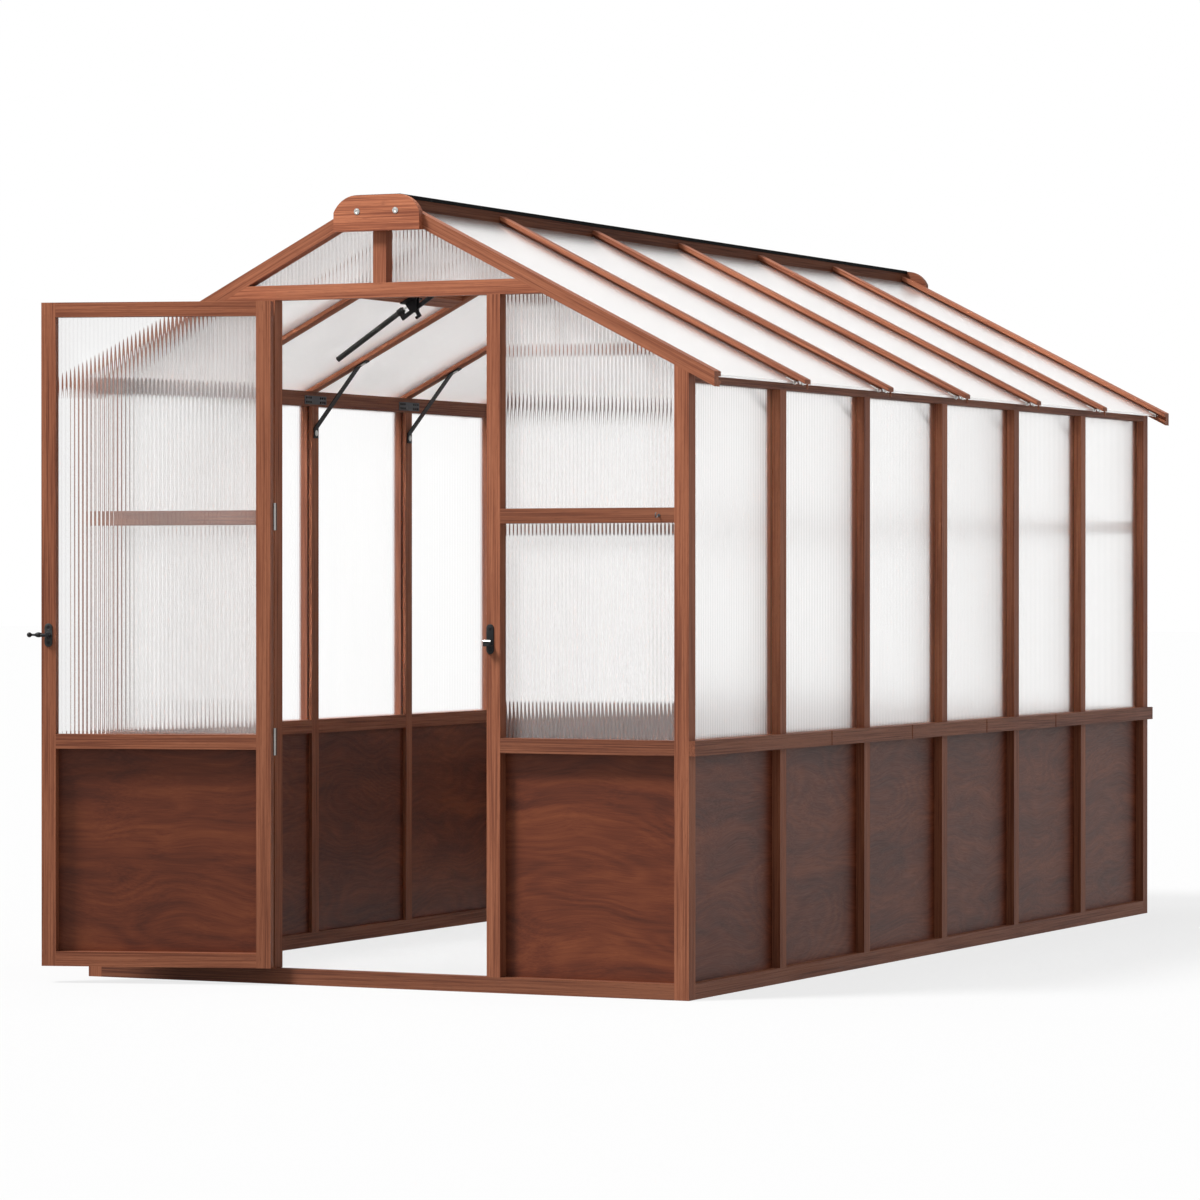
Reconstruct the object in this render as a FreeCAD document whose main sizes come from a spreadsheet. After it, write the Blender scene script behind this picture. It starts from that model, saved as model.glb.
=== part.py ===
import FreeCAD, Part
import math
import os

import Sketcher

# Wooden greenhouse: a six-bay timber frame with a pitched roof, solid boards below the dado,
# twin-wall sheets above it, a hinged door that stands open, and one roof vent with its opener.
# Millimetres, +Z up. The origin is the middle of the front sill's underside, +X is to the right
# of somebody who faces the door and +Y runs back into the house.

DIMENSIONS = (
    ("width", 1830, "width over the corner posts"),
    ("length", 3660, "length over the corner posts"),
    ("bays", 6, "number of bays along each side wall"),
    ("post", 42, "side of a post, stud or sill"),
    ("rail", 40, "width of a rail, jamb or stile"),
    ("dado_base", 640, "underside of the dado rails"),
    ("mid_base", 1251, "underside of the end walls' middle rails"),
    ("tie_drop", 288, "drop of the tie beams' undersides below the apex"),
    ("plate_edge", 23.4, "height of the wall plates' outer faces"),
    ("sheet", 6, "thickness of a twin-wall sheet or a solid board"),
    ("seat", 8, "depth of the grooves and rebates that hold the sheets"),
    ("slack", 1, "room around a sheet in its groove"),
    ("sheet_inset", 17, "distance of the side sheets' outer faces from the studs' inner faces"),
    ("joint_gap", 0.6, "gap between two lengths of timber that meet end to end"),
    ("cap_proud", 18, "thickness of the cap rail outside the side studs"),
    ("cap_notch", 4, "chamfer on the cap rail where two lengths meet"),
    ("apex", 2150, "height where the two slopes' top lines meet"),
    ("slope", 0.51, "fall of the roof per unit of run"),
    ("eave_overhang", 73, "reach of the rafter tails beyond the posts"),
    ("rafter_web", 12, "thickness of the rafter between its two grooves"),
    ("flange_plumb", 13, "plumb thickness of the rafter above its grooves"),
    ("groove_plumb", 13, "plumb height of the rafter grooves"),
    ("low_flange_plumb", 14, "plumb thickness of the rafter below its grooves"),
    ("eave_inset", 28, "set-back of the roof sheets from the rafter tails"),
    ("ridge_drop", 12, "drop of the ridge beam's and crown plates' tops below the apex"),
    ("ridge_tall", 68, "height of the ridge beam"),
    ("board_inner", 45, "inner face of a ridge side board from the ridge line"),
    ("board_outer", 60, "outer face of a ridge side board from the ridge line"),
    ("cap_sheet", 2, "thickness of the ridge cap"),
    ("cap_lip", 8, "depth of the ridge cap's turned-down edges"),
    ("crown_thick", 20, "thickness of a crown plate"),
    ("crown_half", 130.5, "half the width of a crown plate"),
    ("crown_flat", 59, "half the width of the crown plate's flat top"),
    ("crown_tall", 97, "height of a crown plate"),
    ("shoulder_tall", 46, "height of the crown plate's round shoulders"),
    ("bolt_side", 58.5, "distance of a crown bolt from the middle"),
    ("bolt_drop", 44, "drop of the crown bolts below the crown plate's top"),
    ("bolt_rim", 8.5, "radius of a crown bolt's domed head at its rim"),
    ("bolt_flat", 5, "radius of the flat on top of a crown bolt's head"),
    ("bolt_rise", 5.5, "height of a crown bolt's head"),
    ("brace_wide", 25, "width of a knee brace strip"),
    ("brace_thick", 4, "thickness of a knee brace strip"),
    ("brace_tab", 30, "length of the knee brace's bent ends"),
    ("brace_fall", 65, "drop of the knee brace's lower bend below the wall plate"),
    ("brace_run", 148, "distance of the knee brace's upper bend from the side wall"),
    ("splice_long", 133, "length of a splice plate"),
    ("splice_tall", 26, "height of a splice plate"),
    ("splice_thick", 2, "thickness of a splice plate"),
    ("splice_rise", 6, "height of a splice plate above the wall plate's underside"),
    ("clip_thick", 1.5, "thickness of a glazing clip"),
    ("clip_wide", 12, "width of a glazing clip"),
    ("clip_over", 22, "length of the clip's leg on top of the sheet"),
    ("clip_under", 10, "length of the clip's leg below the sheet"),
    ("opening", 646, "clear width between the door jambs"),
    ("door_gap", 4, "gap around the closed door"),
    ("door_thick", 40, "thickness of the door"),
    ("door_angle", 162.5, "how far the door stands open"),
    ("pin_front", 5, "distance of the hinge pin in front of the door's outer face"),
    ("knuckle", 3, "radius of a door hinge's knuckles"),
    ("pin_radius", 1.5, "radius of a hinge pin"),
    ("pin_fit", 0.05, "radial running clearance on pins, spindle and piston rod"),
    ("leaf_thick", 1.5, "thickness of a hinge leaf"),
    ("leaf_start", 5.2, "distance from the pin to the leaf's free stretches"),
    ("leaf_wide", 15, "reach of a door hinge leaf from the pin"),
    ("hinge_tall", 74, "height of a door hinge"),
    ("hinge_low", 623, "underside of the lower door hinge"),
    ("hinge_high", 1236, "underside of the upper door hinge"),
    ("knuckle_gap", 0.5, "gap between neighbouring knuckles"),
    ("latch_level", 950, "height of the latch spindle"),
    ("spindle", 4, "radius of the latch spindle"),
    ("latch_plate_wide", 22, "width of a latch plate"),
    ("latch_plate_tall", 64, "height of a latch plate"),
    ("latch_plate_thick", 3, "thickness of a latch plate"),
    ("arm_front", 14, "distance of the latch arm in front of the door's outer face"),
    ("arm_neck", 3.5, "radius of the latch arm's neck"),
    ("arm_ball", 7, "radius of the latch arm's ball end and of its swelling"),
    ("arm_reach", 68, "distance from the spindle to the ball's centre"),
    ("arm_swell", 42, "distance from the spindle to the swelling's centre"),
    ("swell_half", 11, "half the length of the swelling"),
    ("boss_radius", 8, "radius of the boss on the spindle"),
    ("boss_long", 18, "length of the boss on the spindle"),
    ("knob_boss", 8, "radius of the boss inside the door"),
    ("knob_long", 14, "length of the boss inside the door"),
    ("thumb_reach", 19, "length of the thumb piece from the spindle"),
    ("thumb_root", 5.5, "half the height of the thumb piece at the boss"),
    ("thumb_tip", 4, "half the height of the thumb piece at its tip"),
    ("thumb_thick", 8, "thickness of the thumb piece"),
    ("keeper_wide", 22, "width of the keeper on the right jamb"),
    ("keeper_low", 47, "reach of the keeper's plate below the spindle"),
    ("keeper_high", 33, "reach of the keeper's plate above the spindle"),
    ("keeper_thick", 3, "thickness of the keeper's plate and floor"),
    ("keeper_proud", 24, "depth of the keeper's trough"),
    ("lip_thick", 2, "thickness of the keeper's front lip"),
    ("lip_drop", 8, "drop of the keeper's lip below the spindle"),
    ("floor_drop", 23, "drop of the keeper's trough below the spindle"),
    ("hook_place", 829, "distance of the screw hook from the middle"),
    ("hook_ring", 7, "radius of the screw hook's ring"),
    ("hook_wire", 1.6, "radius of the screw hook's wire"),
    ("hook_shank", 9, "length of the screw hook's shank outside the rail"),
    ("hook_turn", 270, "angle of the screw hook's ring"),
    ("trim_head", 66, "outer edge of the vent's head rail from the ridge line"),
    ("sill_start", 367, "upper edge of the vent's sill rail from the ridge line"),
    ("sill_ledge", 387, "edge of the sill rail's ledge from the ridge line"),
    ("sill_end", 407, "lower edge of the vent's sill rail from the ridge line"),
    ("sash_start", 68, "upper edge of the vent sash from the ridge line"),
    ("sash_end", 400, "lower edge of the vent sash from the ridge line"),
    ("sash_plumb", 24, "plumb depth of the vent sash"),
    ("sash_proud", 5.5, "plumb rise of the vent sash above the rafters"),
    ("sash_gap", 3, "gap between the vent sash and the rafters"),
    ("sash_stile", 22, "width of the vent sash's stiles"),
    ("sash_rail", 30, "width of the vent sash's rails"),
    ("vent_knuckle", 3.5, "radius of a vent hinge's knuckles"),
    ("vent_leaf", 20, "reach of a vent hinge leaf from the pin"),
    ("vent_pin_side", 4.5, "distance of the vent hinge pin from the ridge side board"),
    ("vent_pin_rise", 2, "height of the vent hinge pin above the sash"),
    ("vent_hinge_long", 60, "length of a vent hinge"),
    ("vent_hinge_inset", 90, "distance of a vent hinge from the end of the sash"),
    ("opener_out", 378, "distance of the opener's pivot from the ridge line"),
    ("opener_drop", 32, "plumb drop of the opener's pivot below the sill rail"),
    ("opener_tilt", 33, "slope angle of the closed opener"),
    ("ear_inner", 8, "half the gap between the opener bracket's ears"),
    ("ear_thick", 3, "thickness of the opener bracket's ears"),
    ("ear_foot", 9, "half the width of the ears at the pivot"),
    ("foot_long", 78, "length of the opener bracket's foot plate"),
    ("foot_plumb", 4, "plumb thickness of the opener bracket's foot plate"),
    ("foot_back", 6, "set-back of the foot plate, which leaves room for the raised lever"),
    ("opener_pin", 4, "radius of the opener's pivot pin"),
    ("anvil_radius", 5, "radius of the cross pin that the piston rod pushes on"),
    ("anvil_back", 6, "set-back of the cross pin behind the pivot"),
    ("tube_rise", 20, "height of the opener's tube above its pivot"),
    ("tube_radius", 8, "radius of the opener's tube"),
    ("tube_start", 30, "distance of the tube's upper end from the pivot"),
    ("tube_long", 260, "length of the opener's tube"),
    ("piston", 3, "radius of the opener's piston rod"),
    ("piston_end", 60, "distance of the piston rod's inner end from the pivot"),
    ("piston_gap", 1.5, "clearance between the piston rod and the cross pin"),
    ("bore_end", 78, "distance of the bottom of the tube's bore from the pivot"),
    ("lever_reach", 235, "length of the opener's lever"),
    ("lever_half", 4, "half the thickness of the opener's lever"),
    ("lever_tip", 6, "half the depth of the lever at its tip"),
    ("lever_root", 6, "half the depth of the lever at its pivot"),
    ("jaw_back", 8, "reach of the lever's lower jaw behind its pivot"),
    ("jaw_front", 3, "reach of the jaw's stem in front of the pivot"),
    ("jaw_foot", 11, "reach of the jaw's foot in front of the pivot"),
    ("jaw_drop", 28, "drop of the jaw below the pivot"),
    ("jaw_thick", 8, "thickness of the jaw's foot"),
    ("clamp_start", 28, "distance of the tube clamp from the pivot"),
    ("clamp_end", 56, "distance of the clamp's far face from the pivot"),
    ("clamp_half", 12, "half the width of the tube clamp"),
)


class Size:
    """A number together with the sheet formula that it comes from."""

    def __init__(self, value, formula):
        self.value = value
        self.formula = formula

    def __add__(self, other):
        other = as_size(other)
        return Size(self.value + other.value, f"({self.formula} + {other.formula})")

    def __radd__(self, other):
        return as_size(other) + self

    def __sub__(self, other):
        other = as_size(other)
        return Size(self.value - other.value, f"({self.formula} - {other.formula})")

    def __rsub__(self, other):
        return as_size(other) - self

    def __mul__(self, other):
        other = as_size(other)
        return Size(self.value * other.value, f"({self.formula} * {other.formula})")

    def __rmul__(self, other):
        return as_size(other) * self

    def __truediv__(self, other):
        other = as_size(other)
        return Size(self.value / other.value, f"({self.formula} / {other.formula})")

    def __neg__(self):
        return Size(-self.value, f"(-1 * {self.formula})")


def as_size(number):
    if isinstance(number, Size):
        return number
    return Size(float(number), repr(float(number)))


def square_root(size):
    return Size(math.sqrt(size.value), f"sqrt({size.formula})")


def cosine(degrees):
    return Size(math.cos(math.radians(degrees.value)), f"cos({degrees.formula} * 1deg)")


def sine(degrees):
    return Size(math.sin(math.radians(degrees.value)), f"sin({degrees.formula} * 1deg)")


class Sizes:
    """The driving dimensions, one attribute for each row of the sheet."""


doc = FreeCAD.newDocument("WoodenGreenhouse")
sheet = doc.addObject("Spreadsheet::Sheet", "Sizes")
d = Sizes()
for row, (alias, value, meaning) in enumerate(DIMENSIONS, start=1):
    sheet.set(f"A{row}", meaning)
    sheet.set(f"B{row}", str(value))
    sheet.setAlias(f"B{row}", alias)
    setattr(d, alias, Size(float(value), f"Sizes.{alias}"))
doc.recompute()

nodes = []

X_DIRECTION = FreeCAD.Vector(1, 0, 0)
Y_DIRECTION = FreeCAD.Vector(0, 1, 0)
Z_DIRECTION = FreeCAD.Vector(0, 0, 1)
PLANES = {"X": "YZ_Plane", "Y": "XZ_Plane", "Z": "XY_Plane"}

# A turned swelling is two tapers that meet at its middle, cut at these angles.
SWELL_ANGLES = (36, 90, 144)


# Modelling helpers

def bind(thing, path, size):
    thing.setExpression(path, as_size(size).formula)


def node(thing, label):
    """Mark an object as a finished sub-part with the given name."""
    thing.Label = label
    nodes.append(thing)
    return thing


def new_body(name):
    return doc.addObject("PartDesign::Body", name)


def origin_feature(body, role):
    return next(feature for feature in body.Origin.OriginFeatures if feature.Role == role)


def new_sketch(body, axis, level, lift=0):
    """Empty sketch square to an axis, at a level along it; lift raises its own zero line."""
    sketch = body.newObject("Sketcher::SketchObject", f"{body.Name}_outline")
    sketch.AttachmentSupport = [(origin_feature(body, PLANES[axis]), "")]
    sketch.MapMode = "FlatFace"
    level = as_size(level)
    bind(sketch, ".AttachmentOffset.Base.z", -level if axis == "Y" else level)
    bind(sketch, ".AttachmentOffset.Base.y", lift)
    return sketch


def arc_guess(start, end):
    """Shallow arc from start to end that bulges to the right of the way it runs."""
    chord = end - start
    middle = (start + end) * 0.5 + FreeCAD.Vector(chord.y, -chord.x, 0) * 0.15
    return Part.Arc(start, middle, end)


def draw_outline(sketch, points, arcs):
    """Closed outline through bound points; arcs names edges that are tangent to a neighbour."""
    points = [(as_size(u), as_size(v)) for u, v in points]
    corners = [FreeCAD.Vector(u.value, v.value, 0) for u, v in points]
    count = len(points)
    constraints = []
    for edge in range(count):
        start, end = corners[edge], corners[(edge + 1) % count]
        curve = arc_guess(start, end) if edge in arcs else Part.LineSegment(start, end)
        sketch.addGeometry(curve)
        constraints.append(Sketcher.Constraint("Coincident", edge, 2, (edge + 1) % count, 1))
    for edge, corner in enumerate(corners):
        constraints.append(Sketcher.Constraint("DistanceX", -1, 1, edge, 1, corner.x))
        constraints.append(Sketcher.Constraint("DistanceY", -1, 1, edge, 1, corner.y))
    sketch.addConstraint(constraints)
    for edge, (u, v) in enumerate(points):
        bind(sketch, f"Constraints[{count + 2 * edge}]", u)
        bind(sketch, f"Constraints[{count + 2 * edge + 1}]", v)
    for edge, neighbour in arcs.items():
        sketch.addConstraint(Sketcher.Constraint("Tangent", edge, neighbour))


def pad(body, axis, points, start, end, arcs=None):
    """Add the outline's prism between two levels along an axis."""
    sketch = new_sketch(body, axis, start)
    draw_outline(sketch, points, arcs or {})
    feature = body.newObject("PartDesign::Pad", f"{body.Name}_pad")
    feature.Profile = sketch
    bind(feature, "Length", as_size(end) - start)
    feature.Reversed = axis == "Y"
    return feature


def take_away(body, sketch, depth):
    """Pocket that cuts evenly to both sides of its sketch."""
    feature = body.newObject("PartDesign::Pocket", f"{body.Name}_pocket")
    feature.Profile = sketch
    feature.SideType = "Symmetric"
    bind(feature, "Length", depth)
    return feature


def cut(body, axis, points, start, end):
    sketch = new_sketch(body, axis, (as_size(start) + end) / 2)
    draw_outline(sketch, points, {})
    return take_away(body, sketch, as_size(end) - start)


def bore(body, axis, centre, radius, start, end):
    """Round hole along an axis between two levels."""
    sketch = new_sketch(body, axis, (as_size(start) + end) / 2)
    u, v = as_size(centre[0]), as_size(centre[1])
    sketch.addGeometry(Part.Circle(FreeCAD.Vector(u.value, v.value, 0), Z_DIRECTION, radius.value))
    sketch.addConstraint([
        Sketcher.Constraint("DistanceX", -1, 1, 0, 3, u.value),
        Sketcher.Constraint("DistanceY", -1, 1, 0, 3, v.value),
        Sketcher.Constraint("Radius", 0, radius.value),
    ])
    for index, size in enumerate((u, v, radius)):
        bind(sketch, f"Constraints[{index}]", size)
    return take_away(body, sketch, as_size(end) - start)


def turn(body, axis, profile, level, lift):
    """Turned piece: a profile of (place along the centre line, radius), spun about that line."""
    sketch = new_sketch(body, axis, level, lift)
    draw_outline(sketch, profile, {})
    feature = body.newObject("PartDesign::Revolution", f"{body.Name}_turning")
    feature.Profile = sketch
    feature.ReferenceAxis = (sketch, ["H_Axis"])
    return feature


def swelling(centre, half_length, radius, angles):
    """Profile points of a turned ball or swelling, at angles from its near pole."""
    return [(centre - half_length * math.cos(math.radians(angle)),
             radius * math.sin(math.radians(angle))) for angle in angles]


def repeat_along_y(body, features, count, step):
    """Repeat features along Y as separate lengths or in-fills of one body."""
    pattern = body.newObject("PartDesign::LinearPattern", f"{body.Name}_pattern")
    pattern.Originals = features
    pattern.Direction = (origin_feature(body, "Y_Axis"), [""])
    bind(pattern, "Length", step * (count - 1))
    bind(pattern, "Occurrences", count)
    body.Tip = pattern
    return pattern


def prism(name, axis, points, start, end):
    body = new_body(name)
    pad(body, axis, points, start, end)
    return body


def mirrored(source, name, axis):
    """Copy of a piece on the other side of the house, left to right (X) or front to back (Y)."""
    twin = doc.addObject("Part::Mirroring", name)
    twin.Source = source
    twin.Normal = X_DIRECTION if axis == "X" else Y_DIRECTION
    if axis == "Y":
        bind(twin, "Base.y", middle)
    return twin


def group(name, members):
    """Like pieces that share one node as separate solids."""
    gathered = doc.addObject("Part::Compound", name)
    gathered.Links = members
    return gathered


def both_sides(name, piece):
    return group(name, [piece, mirrored(piece, f"{name}_left", "X")])


def box(name, low, high):
    piece = doc.addObject("Part::Box", name)
    for path, first, last in zip(("Length", "Width", "Height"), low, high):
        bind(piece, path, as_size(last) - first)
    for axis, first in zip("xyz", low):
        bind(piece, f".Placement.Base.{axis}", first)
    return piece


def place(thing, point):
    for axis, size in zip("xyz", point):
        bind(thing, f".Placement.Base.{axis}", size)


def rod(name, radius, start, end, axis, across):
    """Round bar along an axis from start to end; across holds its two other coordinates."""
    piece = doc.addObject("Part::Cylinder", name)
    bind(piece, "Radius", radius)
    bind(piece, "Height", as_size(end) - start)
    piece.Placement.Rotation = FreeCAD.Rotation(Z_DIRECTION, {
        "X": X_DIRECTION, "Y": Y_DIRECTION, "Z": Z_DIRECTION}[axis])
    place(piece, {
        "X": (start, across[0], across[1]),
        "Y": (across[0], start, across[1]),
        "Z": (across[0], across[1], start)}[axis])
    return piece


def fuse(name, pieces):
    joined = doc.addObject("Part::MultiFuse", name)
    joined.Shapes = pieces
    return joined


def subtract(name, base, tool):
    left = doc.addObject("Part::Cut", name)
    left.Base = base
    left.Tool = tool
    return left


# Places that several pieces share

half_post = d.post / 2
half = d.width / 2
inner = half - d.post
pitch = (d.length - d.post) / d.bays
front = -half_post
rear = d.length - half_post
middle = (d.length - d.post) / 2
back = half_post
end_plane = back - d.sheet - d.slack
dado_top = d.dado_base + d.rail
mid_top = d.mid_base + d.rail
tie_base = d.apex - d.tie_drop
tie_top = tie_base + d.rail
half_opening = d.opening / 2
jamb_out = half_opening + d.rail
groove_high = inner + d.sheet_inset + d.slack / 2
groove_low = inner + d.sheet_inset - d.sheet - d.slack / 2
bite = d.seat - d.slack
groove_drop = d.flange_plumb + d.groove_plumb
rafter_plumb = groove_drop + d.low_flange_plumb
slope_stretch = square_root(1 + d.slope * d.slope)
sheet_plumb = d.sheet * slope_stretch
sheet_drop = groove_drop - sheet_plumb
half_web = d.rafter_web / 2
half_rafter = half_post - d.slack
eave_reach = half + d.eave_overhang
sheet_end = eave_reach - d.eave_inset
ridge_top = d.apex - d.ridge_drop
ridge_base = ridge_top - d.ridge_tall
ridge_half = d.ridge_drop / d.slope


def roof(out, drop):
    """Height of the line a plumb drop below the rafters' tops, at a distance from the ridge."""
    return d.apex - d.slope * out - drop


plate_base = roof(half, rafter_plumb) - d.plate_edge


def under_roof(level, drop):
    """Distance from the ridge line at which that line comes down to a level."""
    return (d.apex - drop - level) / d.slope


def on_slope(out, drop):
    return (out, roof(out, drop))


def strip(start, end, top_drop, low_drop):
    """Outline of a sloping strip with plumb ends."""
    return [on_slope(start, low_drop), on_slope(end, low_drop),
            on_slope(end, top_drop), on_slope(start, top_drop)]


def rectangle(left, low, right, high):
    return [(left, low), (right, low), (right, high), (left, high)]


# Sills and posts

def make_sills():
    front_outline = [(front, 0), (back, 0), (back, d.post - d.seat), (end_plane, d.post - d.seat),
                     (end_plane, d.post), (front, d.post)]
    sill = node(prism("FrontSill", "X", front_outline, -inner, inner), "front_sill")
    node(mirrored(sill, "RearSill", "Y"), "rear_sill")
    side_outline = [(inner, 0), (half, 0), (half, d.post), (groove_high, d.post),
                    (groove_high, d.post - d.seat), (groove_low, d.post - d.seat),
                    (groove_low, d.post), (inner, d.post)]
    side = prism("SideSill", "Y", side_outline, back, rear - d.post)
    node(both_sides("SideSills", side), "side_sills")


def make_corner_posts():
    """Corner posts, grooved for the side sheets, rebated for the end sheets, bevelled on top."""
    outline = [(inner, front), (half, front), (half, back), (groove_high, back),
               (groove_high, back - d.seat), (groove_low, back - d.seat), (groove_low, back),
               (inner + d.seat, back), (inner + d.seat, end_plane), (inner, end_plane)]
    tall = roof(inner, rafter_plumb)
    post = new_body("CornerPost")
    pad(post, "Z", outline, 0, tall)
    cut(post, "Y", [(inner, tall), (half, roof(half, rafter_plumb)), (half, tall)], front, back)
    pair = both_sides("FrontCornerPosts", post)
    node(group("CornerPosts", [pair, mirrored(pair, "RearCornerPosts", "Y")]), "corner_posts")


def make_jambs_and_rear_posts():
    jamb_outline = [(half_opening, front), (jamb_out, front), (jamb_out, end_plane),
                    (jamb_out - d.seat, end_plane), (jamb_out - d.seat, back), (half_opening, back)]
    jamb = node(prism("RightJamb", "Z", jamb_outline, d.post, tie_base), "door_jamb_right")
    node(mirrored(jamb, "LeftJamb", "X"), "door_jamb_left")
    post_outline = [(half_opening, front), (jamb_out, front), (jamb_out, end_plane),
                    (jamb_out - d.seat, end_plane), (jamb_out - d.seat, back),
                    (half_opening + d.seat, back), (half_opening + d.seat, end_plane),
                    (half_opening, end_plane)]
    post = prism("RearPost", "Z", post_outline, d.post, tie_base)
    node(mirrored(both_sides("RearPostPair", post), "RearPosts", "Y"), "rear_posts")


def make_side_studs():
    low, high = pitch - half_post, pitch + half_post
    outline = [(inner, low), (groove_low, low), (groove_low, low + d.seat),
               (groove_high, low + d.seat), (groove_high, low), (half, low),
               (half, high), (groove_high, high), (groove_high, high - d.seat),
               (groove_low, high - d.seat), (groove_low, high), (inner, high)]
    studs = new_body("RightStuds")
    stud = pad(studs, "Z", outline, d.post, plate_base)
    repeat_along_y(studs, [stud], d.bays - 1, pitch)
    node(studs, "side_studs_right")
    node(mirrored(studs, "LeftStuds", "X"), "side_studs_left")


# Rails along the side walls

def make_wall_plates():
    """Wall plates in lengths that meet on the studs, their tops bevelled to the rafters."""
    base, notch = plate_base, plate_base + d.seat
    outline = [(inner, base), (groove_low, base), (groove_low, notch), (groove_high, notch),
               (groove_high, base), (half, base), on_slope(half, rafter_plumb),
               on_slope(inner, rafter_plumb)]
    gap = d.joint_gap / 2
    last = pitch * (d.bays - 1)
    plate = new_body("RightPlate")
    pad(plate, "Y", outline, back, pitch - gap)
    pad(plate, "Y", outline, last + gap, rear - d.post)
    inner_length = pad(plate, "Y", outline, pitch + gap, pitch * 2 - gap)
    repeat_along_y(plate, [inner_length], d.bays - 2, pitch)
    node(plate, "wall_plate_right")
    node(mirrored(plate, "LeftPlate", "X"), "wall_plate_left")


def make_side_transoms():
    """Short rails between the studs that hold the boards below and the sheets above."""
    low, high = d.dado_base, dado_top
    outline = [(inner, low), (groove_low, low), (groove_low, low + d.seat),
               (groove_high, low + d.seat), (groove_high, low), (half, low),
               (half, high), (groove_high, high), (groove_high, high - d.seat),
               (groove_low, high - d.seat), (groove_low, high), (inner, high)]
    transoms = new_body("RightTransoms")
    transom = pad(transoms, "Y", outline, back, pitch - half_post)
    repeat_along_y(transoms, [transom], d.bays, pitch)
    node(both_sides("SideTransoms", transoms), "side_transoms")


def make_cap_rails():
    """Cap rails outside the studs; their lengths meet mid-bay in small V notches."""
    out = half + d.cap_proud
    notch = d.cap_notch
    gap = d.joint_gap / 2

    def length(start, end, start_notch, end_notch):
        return [(half, start), (out - start_notch, start), (out, start + start_notch),
                (out, end - end_notch), (out - end_notch, end), (half, end)]

    joint = pitch * 1.5
    last_joint = pitch * (d.bays - 1.5)
    rails = new_body("RightCapRail")
    first = [(half, front), (out, front), (out, joint - gap - notch),
             (out - notch, joint - gap), (half, joint - gap)]
    last = [(half, last_joint + gap), (out - notch, last_joint + gap),
            (out, last_joint + gap + notch), (out, rear), (half, rear)]
    pad(rails, "Z", first, d.dado_base, dado_top)
    pad(rails, "Z", last, d.dado_base, dado_top)
    between = pad(rails, "Z", length(joint + gap, joint + pitch - gap, notch, notch),
                  d.dado_base, dado_top)
    repeat_along_y(rails, [between], d.bays - 3, pitch)
    node(rails, "cap_rail_right")
    node(mirrored(rails, "LeftCapRail", "X"), "cap_rail_left")


# End walls

def rail_section(low):
    """Rail of an end wall, rebated at the back along both edges."""
    high = low + d.rail
    return [(front, low), (end_plane, low), (end_plane, low + d.seat), (back, low + d.seat),
            (back, high - d.seat), (end_plane, high - d.seat), (end_plane, high), (front, high)]


def make_end_rails():
    rails = new_body("EndRails")
    for low in (d.dado_base, d.mid_base):
        pad(rails, "X", rail_section(low), jamb_out, inner)
    front_rails = node(both_sides("FrontRails", rails), "front_rails")
    centre = new_body("RearCentreRails")
    for low in (d.dado_base, d.mid_base):
        pad(centre, "X", rail_section(low), -half_opening, half_opening)
    rear_pieces = [mirrored(front_rails, "RearSideRails", "Y"),
                   mirrored(centre, "RearMiddleRails", "Y")]
    node(group("RearRails", rear_pieces), "rear_rails")


def make_tie_beams():
    """Tie beams with their ends cut to the rafters and rebates above and below."""
    beam = new_body("TieBeam")
    steps = ((front, end_plane, tie_base, tie_top),
             (end_plane, back, tie_base + d.seat, tie_top - d.seat))
    for start, end, low, high in steps:
        low_end, high_end = under_roof(low, rafter_plumb), under_roof(high, rafter_plumb)
        outline = [(-low_end, low), (low_end, low), (high_end, high), (-high_end, high)]
        pad(beam, "Y", outline, start, end)
    node(beam, "tie_beam_front")
    node(mirrored(beam, "RearTieBeam", "Y"), "tie_beam_rear")


def make_king_posts():
    side = d.rail / 2
    step = side - d.seat
    outline = [(-side, front), (side, front), (side, end_plane), (step, end_plane), (step, back),
               (-step, back), (-step, end_plane), (-side, end_plane)]
    post = prism("KingPost", "Z", outline, tie_top, ridge_base)
    node(group("KingPosts", [post, mirrored(post, "RearKingPost", "Y")]), "king_posts")


# Roof timbers

def make_end_rafters():
    """Gable rafters, grooved inside for the roof sheets and rebated below for the gable sheets."""
    rafter = new_body("EndRafter")
    step = rafter_plumb - d.seat
    bands = ((0, d.flange_plumb, back), (d.flange_plumb, groove_drop, half_web),
             (groove_drop, step, back), (step, rafter_plumb, end_plane))
    for top_drop, low_drop, end in bands:
        pad(rafter, "Y", strip(ridge_half, eave_reach, top_drop, low_drop), front, end)
    pair = both_sides("FrontRafters", rafter)
    node(group("EndRafters", [pair, mirrored(pair, "RearRafters", "Y")]), "end_rafters")


def make_rafters():
    """Inner rafters: an H section that holds a sheet on each side, with plumb-cut ends."""
    rafters = new_body("RightRafters")
    bands = ((0, d.flange_plumb, half_rafter), (d.flange_plumb, groove_drop, half_web),
             (groove_drop, rafter_plumb, half_rafter))
    parts = [pad(rafters, "Y", strip(ridge_half, eave_reach, top_drop, low_drop),
                 pitch - wide, pitch + wide) for top_drop, low_drop, wide in bands]
    repeat_along_y(rafters, parts, d.bays - 1, pitch)
    node(rafters, "rafters_right")
    node(mirrored(rafters, "LeftRafters", "X"), "rafters_left")


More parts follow.
